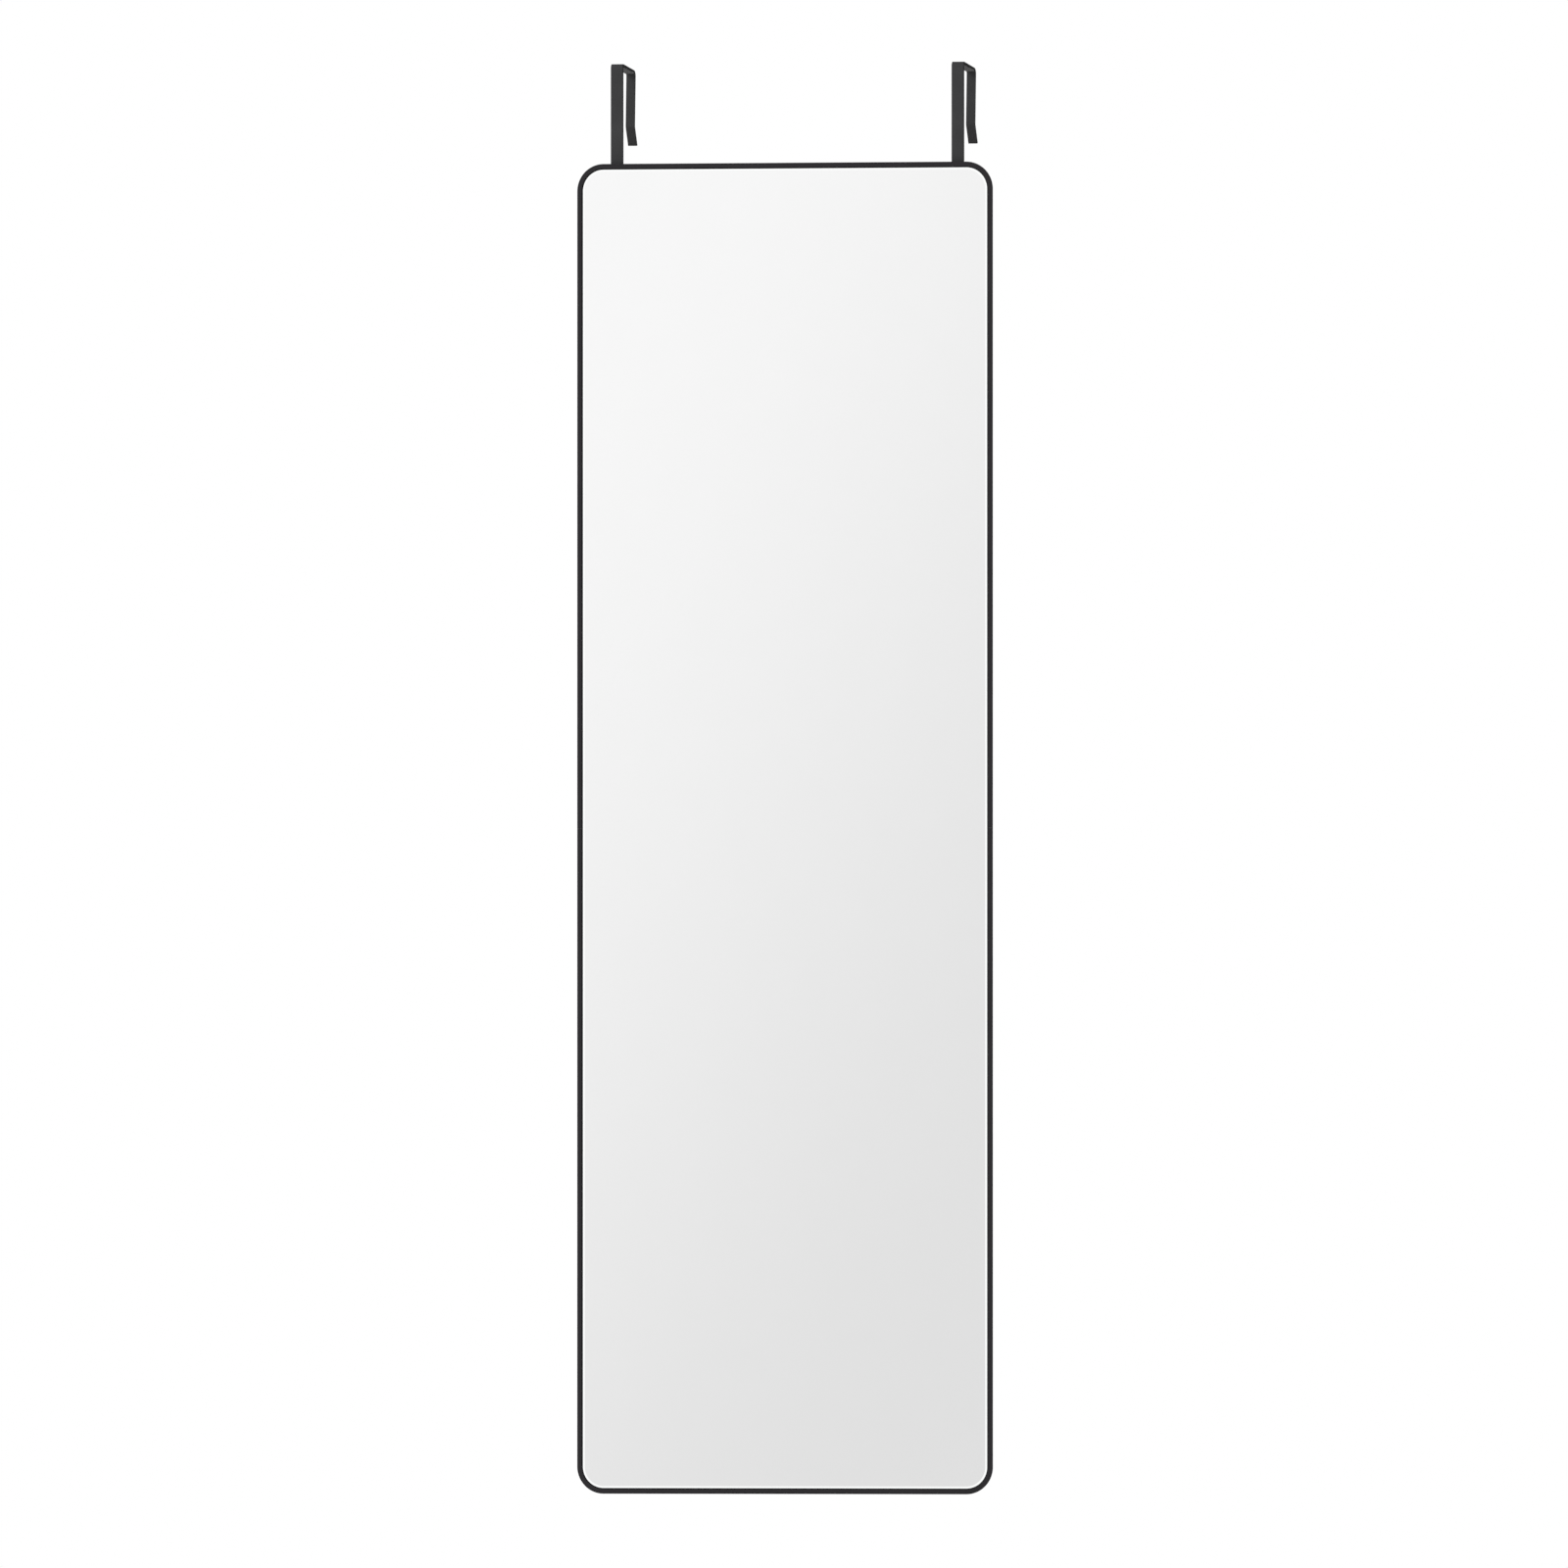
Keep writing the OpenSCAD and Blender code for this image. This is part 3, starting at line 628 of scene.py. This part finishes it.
def build_screws(name, node, places, head_y, head_d, thread_d, material):
    """Like screws at their places, each driven home to a turn of its own."""
    low, high = box_mm(node)
    bm = bmesh.new()
    pan_head_screw(bm, head_d, high.y - head_y, thread_d, head_y - low.y)
    first = list(bm.verts) + list(bm.edges) + list(bm.faces)
    turn = 2.4  # radians from one screw's stop to the next one's, which never line up
    for i, (x, z) in enumerate(places):
        copy = bmesh.ops.duplicate(bm, geom=first)["geom"]
        verts = of_kind(copy, BMVert)
        bmesh.ops.rotate(bm, verts=verts, cent=(0, 0, 0), matrix=Matrix.Rotation(i * turn, 3, "Y"))
        bmesh.ops.translate(bm, verts=verts, vec=(x, head_y, z))
    bmesh.ops.delete(bm, geom=of_kind(first, BMVert), context="VERTS")
    finish_piece(bm, name, "mirror", node, [material], smooth_below=40)


def build_bumper(s, name, node, rubber):
    """A moulded bumper, its face rounded at the rim and a little dished in the middle."""
    low, high = box_mm(node)
    radius = (high.x - low.x) / 2
    round_r = s.bumper_round / MM
    height = high.y - low.y
    profile = [(0, 0), (radius, 0), (radius, height - round_r)]
    steps = 6
    for step in range(1, steps + 1):
        a = math.pi / 2 * step / steps
        profile.append((radius - round_r * (1 - math.cos(a)),
                        height - round_r * (1 - math.sin(a))))
    # the dish, as shares of the flat face's radius and of the dish's depth
    dish = ((0.75, 0), (0.68, 1 / 4), (0.6, 5 / 6), (0.25, 1), (0, 1))
    profile += [((radius - round_r) * out, height - s.bumper_dish / MM * down)
                for out, down in dish]
    bm = bmesh.new()
    turned(bm, profile, ((low.x + high.x) / 2, low.y, (low.z + high.z) / 2), steps=48)
    finish_piece(bm, name, "mirror", node, [rubber])


# ------------------------------------------------------------------ hooks and pads

def heading(radians):
    """The direction at an angle, in the upright plane that a strap is bent in."""
    return Vector((0, math.cos(radians), math.sin(radians)))


def bridge_cuts(s):
    """What the front bend and the rear bend take off the bridge's inner face."""
    return (s.front_r / MM * math.tan(math.pi / 4 + s.slope / 2),
            s.rear_r / MM * math.tan(math.pi / 4 + (s.lean - s.slope) / 2))


def strap_corners(s, side):
    """Where the straight parts of the strap's inner face would meet, and the tail's end."""
    low, high = box_mm(side + "_hook")
    strap_t = s.strap_t / MM
    door_gap = s.door_gap / MM
    first_z = high.z - strap_t - s.front_r / MM + bridge_cuts(s)[0]
    first = Vector((0, low.y + strap_t, first_z))
    second = Vector((0, door_gap, first.z - (door_gap - first.y) * math.tan(s.slope)))
    third = second + heading(-math.pi / 2 - s.lean) * (s.leg_len / MM)
    return first, second, third, third + heading(s.flare - math.pi / 2) * (s.tail_len / MM)


def build_hook(s, name, node, coats):
    """A strip of steel, slotted below, bent over the door's top and down its back. The second
    coat is a darker copy of the first, for the strip's side faces: painted shade."""
    low, high = box_mm(node)
    middle = (low.x + high.x) / 2
    strap_w = high.x - low.x
    strap_t = s.strap_t / MM
    slot_w = s.slot_w / MM
    first, second, third, tail_end = strap_corners(s, side_of(node))
    front_cut, rear_cut = bridge_cuts(s)
    front_turn = math.pi / 2 + s.slope
    rear_turn = math.pi / 2 + s.lean - s.slope
    tail_turn = s.flare + s.lean
    tail_r = s.tail_r / MM + strap_t
    tail_cut = tail_r * math.tan(tail_turn / 2)
    bridge_way = heading(-s.slope)
    leg_way = heading(-math.pi / 2 - s.lean)

    # the flat strap and its slot
    bm = bmesh.new()
    strap_top = first.z - front_cut
    foot = strap_w * NEAR_HALF
    outline = flat_outline(bm, [
        ((low.x, low.y, low.z), foot), ((high.x, low.y, low.z), foot),
        ((high.x, low.y, strap_top), 0), ((low.x, low.y, strap_top), 0)], segments=12)
    slot_low = Vector((middle - slot_w / 2, 0, low.z + s.slot_end / MM))
    slot_high = slot_low + Vector((slot_w, 0, s.slot_len / MM))
    slot = flat_outline(bm, rectangle(slot_low, slot_high, low.y, slot_w * NEAR_HALF))
    edges = open_faces(bm, [outline, slot])
    faces = of_kind(bmesh.ops.triangle_fill(bm, edges=edges, use_beauty=True)["geom"], BMFace)
    push(bm, faces, (0, strap_t, 0))
    bmesh.ops.dissolve_limit(bm, angle_limit=math.radians(1), verts=bm.verts, edges=bm.edges)
    level = 0.01  # mm
    end = [face for face in bm.faces
           if all(abs(vert.co.z - strap_top) < level for vert in face.verts)]

    # over the door, narrowing
    centre = Vector((middle, first.y + s.front_r / MM, strap_top))
    end = of_kind(swing(bm, end, centre, (-1, 0, 0), front_turn, steps=12), BMFace)
    bridge = bridge_way * ((second - first).length - front_cut - rear_cut)
    end = push(bm, end, bridge, (s.leg_w / MM / strap_w, 1, 1))

    # down its back, and out in the tail
    centre = second - bridge_way * rear_cut + heading(-math.pi / 2 - s.slope) * (s.rear_r / MM)
    centre.x = middle
    end = of_kind(swing(bm, end, centre, (-1, 0, 0), rear_turn, steps=12), BMFace)
    end = push(bm, end, leg_way * ((third - second).length - rear_cut - tail_cut))
    centre = third - leg_way * tail_cut + heading(-s.lean) * tail_r
    centre.x = middle
    end = of_kind(swing(bm, end, centre, (1, 0, 0), tail_turn, steps=8), BMFace)
    push(bm, end, heading(s.flare - math.pi / 2) * ((tail_end - third).length - tail_cut))
    soften(bm, s.edge_r / MM)
    bmesh.ops.recalc_face_normals(bm, faces=bm.faces)
    sideways = 0.8  # how far a normal points across the strip, on its side faces, which get the painted shade
    # the side faces take the darker coat: painted shade
    for face in bm.faces:
        face.material_index = 1 if abs(face.normal.x) > sideways else 0
    finish_piece(bm, name, node, node, coats)


def build_foam(s, name, node, corners, through, foam):
    """A foam pad cut from sheet: a face carried through the sheet, its sides drawn in a little."""
    bm = bmesh.new()
    end = [flat_outline(bm, corners, segments=4)]
    for waist in (s.pad_waist, 1, 1 / s.pad_waist):
        end = push(bm, end, through / 3, (waist, 1, 1))
    soften(bm, s.pad_r / MM, sharper_than=60)
    pad = finish_piece(bm, name, side_of(node) + "_hook", node, [foam])


def build_strap_pad(s, name, node, foam):
    """Foam on the strap's back."""
    low, high = box_mm(node)
    corners = rectangle(low, high, low.y, s.pad_corner / MM)
    build_foam(s, name, node, corners, Vector((0, high.y - low.y, 0)), foam)


def build_seat_pad(s, name, node, foam):
    """Foam under the bridge, between its two bends."""
    first, second, _, _ = strap_corners(s, side_of(node))
    front_cut, rear_cut = bridge_cuts(s)
    low, high = box_mm(node)
    strap_pad_t = -box_mm(side_of(node) + "_strap_pad")[0].y
    past_pad = ((strap_pad_t + s.pad_gap / MM) / math.cos(s.slope)
                + s.seat_t / MM * math.tan(s.slope))
    start = max(past_pad, front_cut)
    half_w = Vector(((high.x - low.x) / 2, 0, 0))
    near = first + heading(-s.slope) * start + Vector(((low.x + high.x) / 2, 0, 0))
    far = near + heading(-s.slope) * ((second - first).length - rear_cut - start)
    corners = [(place, s.pad_corner / MM)
               for place in (near - half_w, near + half_w, far + half_w, far - half_w)]
    through = heading(-math.pi / 2 - s.slope) * (s.seat_t / MM)
    build_foam(s, name, node, corners, through, foam)


# ------------------------------------------------------------------ stage

def direction(azimuth, elevation):
    """From the object towards a place at an azimuth and an elevation."""
    return Vector((math.sin(azimuth) * math.cos(elevation),
                   -math.cos(azimuth) * math.cos(elevation), math.sin(elevation)))


def aim(thing, place, target):
    """Puts a camera or lamp at a place and points it at a target."""
    thing.location = place
    thing.rotation_euler = (target - place).to_track_quat("-Z", "Y").to_euler()
    bpy.context.scene.collection.objects.link(thing)


def add_camera(s):
    """The camera, at the photograph's viewing angle."""
    data = bpy.data.cameras.new("camera")
    data.sensor_width = 36.0
    data.lens = data.sensor_width * s.distance / s.field
    data.clip_start = 1.0
    data.clip_end = 100.0
    camera = bpy.data.objects.new("camera", data)
    target = Vector((s.aim_x, 0, s.aim_z))
    aim(camera, target + direction(s.azimuth, s.elevation) * s.distance, target)
    bpy.context.scene.camera = camera


def add_lamps(s, middle):
    """Large soft lamps. Each gives a white face that looks at it its share of full white."""
    for name, azimuth, elevation, part in (  # angles in degrees
            ("front_lamp", -35, 35, 0.42), ("low_lamp", -15, -12, 0.1),
            ("back_lamp", -155, 35, 0.38)):
        data = bpy.data.lights.new(name, "AREA")
        data.shape = "DISK"
        data.size = s.lamp_d
        data.energy = part * math.pi ** 2 * s.lamp_away ** 2
        lamp = bpy.data.objects.new(name, data)
        lamp.visible_glossy = False
        way = direction(math.radians(azimuth), math.radians(elevation))
        aim(lamp, middle + way * s.lamp_away, middle)


def seen_or_lighting(tree):
    """1 where the camera sees a thing, also in a reflection or through glass, and else 0."""
    path = add_node(tree, "ShaderNodeLightPath")
    seen = path.outputs["Is Camera Ray"]
    for way in ("Is Glossy Ray", "Is Transmission Ray"):
        seen = add_node(tree, "ShaderNodeMath", {0: seen, 1: path.outputs[way]},
                        operation="ADD", use_clamp=True)
    return seen


def add_world(s):
    """White for the camera and in reflections, and a dimmer soft light on the object."""
    world = bpy.data.worlds.new("studio")
    world.use_nodes = True
    bpy.context.scene.world = world
    tree = world.node_tree
    tree.nodes.clear()
    level = add_node(tree, "ShaderNodeMapRange",
                     {"Value": seen_or_lighting(tree), "To Min": s.ambient})
    white = add_node(tree, "ShaderNodeBackground", {"Strength": level, "Color": linear("#ffffff")})
    add_node(tree, "ShaderNodeOutputWorld", {"Surface": white})


def floor_material(s):
    """A pale matt floor with 30 mm clouds. It keeps the object's shadow, fades to the white
    round it, and is clear from below."""
    whole_r = s.floor_r * 0.35
    gone_r = s.floor_r * 0.95
    material, tree, place = start_material("pale_floor")
    flat = add_node(tree, "ShaderNodeMapping", {"Vector": place, "Scale": (1, 1, 0)})
    away = add_node(tree, "ShaderNodeVectorMath", {0: flat}, operation="LENGTH")
    fade = add_node(tree, "ShaderNodeMapRange",
                    {"Value": away.outputs["Value"], "From Min": whole_r, "From Max": gone_r},
                    interpolation_type="SMOOTHSTEP")
    grain = add_node(tree, "ShaderNodeTexNoise", {"Vector": place, "Scale": per_mm(30)})
    tone = add_node(tree, "ShaderNodeMix", {"Factor": grain, "A": shade(s.floor, 0.985),
                                            "B": list(s.floor)}, data_type="RGBA")
    matt = add_node(tree, "ShaderNodeBsdfDiffuse", {"Color": tone})
    white = add_node(tree, "ShaderNodeEmission", {"Color": linear("#ffffff")})
    clear = add_node(tree, "ShaderNodeBsdfTransparent")
    amount = add_node(tree, "ShaderNodeMath", {0: fade, 1: seen_or_lighting(tree)},
                      operation="MULTIPLY")
    faded = add_node(tree, "ShaderNodeMixShader", {0: amount, 1: matt, 2: white})
    side = add_node(tree, "ShaderNodeNewGeometry")
    top = add_node(tree, "ShaderNodeMixShader",
                   {0: side.outputs["Backfacing"], 1: faded, 2: clear})
    add_node(tree, "ShaderNodeOutputMaterial", {"Surface": top})
    return material


def panel_material(s, middle, half, spread):
    """What the glass reflects: a wide panel of soft light, light at its upper left and darker
    towards its lower right. Its edges fade into the white round it."""
    material, tree, place = start_material("soft_light_panel")
    across = 1.62  # how much faster it darkens across than down, as the camera sees it
    span = 1.82  # metres down the glass from its lightest to its darkest
    slope = Vector((across * math.cos(s.azimuth), 0, -1)) / spread
    along = add_node(tree, "ShaderNodeVectorMath", {0: place, 1: slope}, operation="DOT_PRODUCT")
    start = slope.dot(middle) - span / 2
    fall = add_node(tree, "ShaderNodeMapRange",
                    {"Value": along.outputs["Value"], "From Min": start,
                     "From Max": start + span}, interpolation_type="SMOOTHSTEP")
    tone = add_node(tree, "ShaderNodeMix", {"Factor": fall, "A": list(s.light_tone),
                                            "B": list(s.dark_tone)}, data_type="RGBA")
    sides = add_node(tree, "ShaderNodeSeparateXYZ", {"Vector": add_node(
        tree, "ShaderNodeVectorMath", {0: place, 1: middle}, operation="SUBTRACT")})
    fade_w = s.panel_edge * 0.85  # outside what the glass shows the camera
    fades = []
    for axis, edge in (("X", half.x), ("Z", half.z)):
        off = add_node(tree, "ShaderNodeMath", {0: sides.outputs[axis]}, operation="ABSOLUTE")
        fades.append(add_node(tree, "ShaderNodeMapRange",
                              {"Value": off, "From Min": edge - fade_w, "From Max": edge,
                               "To Min": 1.0, "To Max": 0.0}, interpolation_type="SMOOTHSTEP"))
    inside = add_node(tree, "ShaderNodeMath", {0: fades[0], 1: fades[1]}, operation="MULTIPLY")
    faded = add_node(tree, "ShaderNodeMix", {"Factor": inside, "A": linear("#ffffff"),
                                             "B": tone}, data_type="RGBA")
    light = add_node(tree, "ShaderNodeEmission", {"Color": faded})
    add_node(tree, "ShaderNodeOutputMaterial", {"Surface": light})
    return material


def add_floor(s):
    """A wide round floor, at the door's foot."""
    bm = bmesh.new()
    bmesh.ops.create_circle(bm, cap_ends=True, segments=64, radius=s.floor_r,
                            matrix=Matrix.Translation((0, 0, -s.door_h)))
    add_object(bm, "pale_floor", [floor_material(s)])


def add_panel(s):
    """The panel stands in front of the glass, and only reflections see it."""
    low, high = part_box("mirror_glass")
    panel_y = -s.panel_away
    away = direction(s.azimuth, s.elevation)
    reach = (panel_y - low.y) / away.y
    glass_middle = (low + high) / 2
    middle = Vector((glass_middle.x - away.x * reach, panel_y, glass_middle.z - away.z * reach))
    spread = 1 + reach / s.distance
    half = (high - low) / 2 * spread + Vector((s.panel_edge, 0, s.panel_edge))
    bm = bmesh.new()
    corners = rectangle(middle - half, middle + half, panel_y, 0)
    flat_outline(bm, corners[::-1])  # it faces the glass
    panel = add_object(bm, "soft_light_panel", [panel_material(s, middle, half, spread)])
    for ray in ("camera", "diffuse", "transmission", "shadow"):
        setattr(panel, "visible_" + ray, False)


# ------------------------------------------------------------------ operators

class MIRROR_OT_frame(Operator):
    """Build the two halves of the bent bar"""

    bl_idname = "mirror.frame"
    bl_label = "Frame"

    def execute(self, context):
        s = context.scene.mirror_frame
        coat = powder_coat("satin_black_powder_coat_on_bar", list(s.coat), (0.45, 0.56), 0.15)
        build_frame_half(s, "upper_frame_bar", "frame_upper", coat)
        build_frame_half(s, "lower_frame_bar", "frame_lower", coat)
        return {"FINISHED"}


class MIRROR_OT_glass(Operator):
    """Build the silvered glass with its ground edge"""

    bl_idname = "mirror.glass"
    bl_label = "Glass"

    def execute(self, context):
        s = context.scene.mirror_frame
        build_glass(s, "ground_edge_glass", "mirror_glass", [
            silvered_float_glass(list(s.silver)), ground_glass_edge(), cut_glass_side(),
            mirror_backing_paint()])
        return {"FINISHED"}


class MIRROR_OT_inner(Operator):
    """Dress the board, film, tape, keys and nuts"""

    bl_idname = "mirror.inner"
    bl_label = "Inner pieces"

    def execute(self, context):
        s = context.scene.mirror_frame
        dress("backing_board", screen_back_hardboard(list(s.board)))
        dress("safety_film", polyethylene_film())
        dress("bonding_tape", white_foam_tape())
        keys = mill_aluminium()
        nuts = bright_zinc_plate()
        for side in SIDES:
            dress("joiner_key_" + side, keys)
            dress(side + "_clinch_nut", nuts)
        return {"FINISHED"}


class MIRROR_OT_brackets(Operator):
    """Build the two brackets with their sleeves"""

    bl_idname = "mirror.brackets"
    bl_label = "Brackets"

    def execute(self, context):
        s = context.scene.mirror_hook
        coat = powder_coat("satin_black_powder_coat_on_sheet", list(s.coat), (0.55, 0.66), 0.1)
        for side in SIDES:
            build_bracket(s, side + "_sleeve_bracket", side + "_bracket", coat)
        return {"FINISHED"}


class MIRROR_OT_screws(Operator):
    """Build the screws with their cross recesses"""

    bl_idname = "mirror.screws"
    bl_label = "Screws"

    def execute(self, context):
        bar = context.scene.mirror_frame
        hook = context.scene.mirror_hook
        zinc = bright_zinc_plate()
        ledge_y = box_mm("frame_upper")[1].y
        low, high = box_mm("ledge_screws")
        head_d = bar.screw_head / MM
        side_x = high.x - head_d / 2
        end_x = bar.end_reach / MM
        end_z = (high.z - low.z - head_d) / 2
        middle_z = (low.z + high.z) / 2
        rises = [(bar.seam_reach + bar.screw_pitch * i) / MM for i in range(3)]
        places = [(x * side_x, middle_z + z * rise) for x, z in FOUR_WAYS for rise in rises]
        places += [(x * end_x, middle_z + z * end_z) for x, z in FOUR_WAYS]
        build_screws("ledge_screw_set", "ledge_screws", places, ledge_y, head_d,
                     bar.screw_thread / MM, zinc)
        for side in SIDES:
            node = side + "_bracket_screws"
            low, high = box_mm(node)
            head_d = hook.flange_head / MM
            places = [(x, z) for x in (low.x + head_d / 2, high.x - head_d / 2)
                      for z in (low.z + head_d / 2, high.z - head_d / 2)]
            build_screws(side + "_flange_screws", node, places, ledge_y, head_d,
                         hook.flange_thread / MM, zinc)
            node = side + "_clamp_screw"
            low, high = box_mm(node)
            place = ((low.x + high.x) / 2, (low.z + high.z) / 2)
            sleeve_back = box_mm(side + "_bracket")[1].y
            build_screws(side + "_clamping_screw", node, [place], sleeve_back,
                         high.x - low.x, hook.clamp_thread / MM, zinc)
        return {"FINISHED"}


class MIRROR_OT_bumpers(Operator):
    """Build the two rubber bumpers"""

    bl_idname = "mirror.bumpers"
    bl_label = "Bumpers"

    def execute(self, context):
        s = context.scene.mirror_hook
        rubber = moulded_rubber(list(s.rubber))
        for side in SIDES:
            build_bumper(s, side + "_rubber_bumper", side + "_bumper", rubber)
        return {"FINISHED"}


class MIRROR_OT_hooks(Operator):
    """Build the two strap hooks"""

    bl_idname = "mirror.hooks"
    bl_label = "Hooks"

    def execute(self, context):
        s = context.scene.mirror_hook
        # the second coat is the strap coat darkened: painted shade on the strip's side faces
        coats = [powder_coat("satin_black_powder_coat_on_" + part, list(rgba), (0.62, 0.72), 0.03)
                 for part, rgba in (("strap", s.coat), ("side_painted_shade", s.painted_shade_edge_coat))]
        for side in SIDES:
            build_hook(s, side + "_strap_hook", side + "_hook", coats)
        return {"FINISHED"}


class MIRROR_OT_pads(Operator):
    """Build the foam pads behind the straps and under the bridges"""

    bl_idname = "mirror.pads"
    bl_label = "Pads"

    def execute(self, context):
        s = context.scene.mirror_hook
        black = cut_eva_foam("cut_eva_foam_black", list(s.foam))
        # painted light: the grey is a lightened copy of the foam, for the bridge's underside
        grey = cut_eva_foam("cut_eva_foam_grey_painted_light", list(s.seat_foam_painted_light))
        for side in SIDES:
            build_strap_pad(s, side + "_standoff_foam", side + "_strap_pad", black)
            build_seat_pad(s, side + "_bridge_foam", side + "_seat_pad", grey)
        return {"FINISHED"}


class MIRROR_OT_stage(Operator):
    """Set up the camera, the light and the floor"""

    bl_idname = "mirror.stage"
    bl_label = "Stage"

    def execute(self, context):
        s = context.scene.mirror_stage
        context.scene.view_settings.view_transform = "Standard"
        add_camera(s)
        low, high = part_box("mirror_glass")
        add_lamps(s, (low + high) / 2)
        add_world(s)
        add_panel(s)
        add_floor(s)
        return {"FINISHED"}


class MIRROR_PT_sidebar(Panel):
    """Lists the pieces and their sizes"""

    bl_idname = "MIRROR_PT_sidebar"
    bl_label = "Over-the-door mirror"
    bl_space_type = "VIEW_3D"
    bl_region_type = "UI"
    bl_category = "Mirror"

    def draw(self, context):
        for piece in OPERATORS:
            self.layout.operator(piece.bl_idname)
        for name in SETTINGS:
            group = getattr(context.scene, name)
            box = self.layout.box()
            for setting in group.__annotations__:
                box.prop(group, setting)


OPERATORS = (MIRROR_OT_frame, MIRROR_OT_glass, MIRROR_OT_inner, MIRROR_OT_brackets,
             MIRROR_OT_screws, MIRROR_OT_bumpers, MIRROR_OT_hooks, MIRROR_OT_pads,
             MIRROR_OT_stage)
SETTINGS = {"mirror_frame": FrameSettings, "mirror_hook": HookSettings,
            "mirror_stage": StageSettings}


def register():
    for group in SETTINGS.values():
        bpy.utils.register_class(group)
    for name, group in SETTINGS.items():
        setattr(bpy.types.Scene, name, PointerProperty(type=group))
    for kind in OPERATORS + (MIRROR_PT_sidebar,):
        bpy.utils.register_class(kind)


def unregister():
    for kind in reversed(OPERATORS + (MIRROR_PT_sidebar,)):
        bpy.utils.unregister_class(kind)
    for name, group in SETTINGS.items():
        delattr(bpy.types.Scene, name)
        bpy.utils.unregister_class(group)


def main():
    register()
    for piece in OPERATORS:
        group, name = piece.bl_idname.split(".")
        getattr(getattr(bpy.ops, group), name)()


if __name__ == "__main__":
    main()
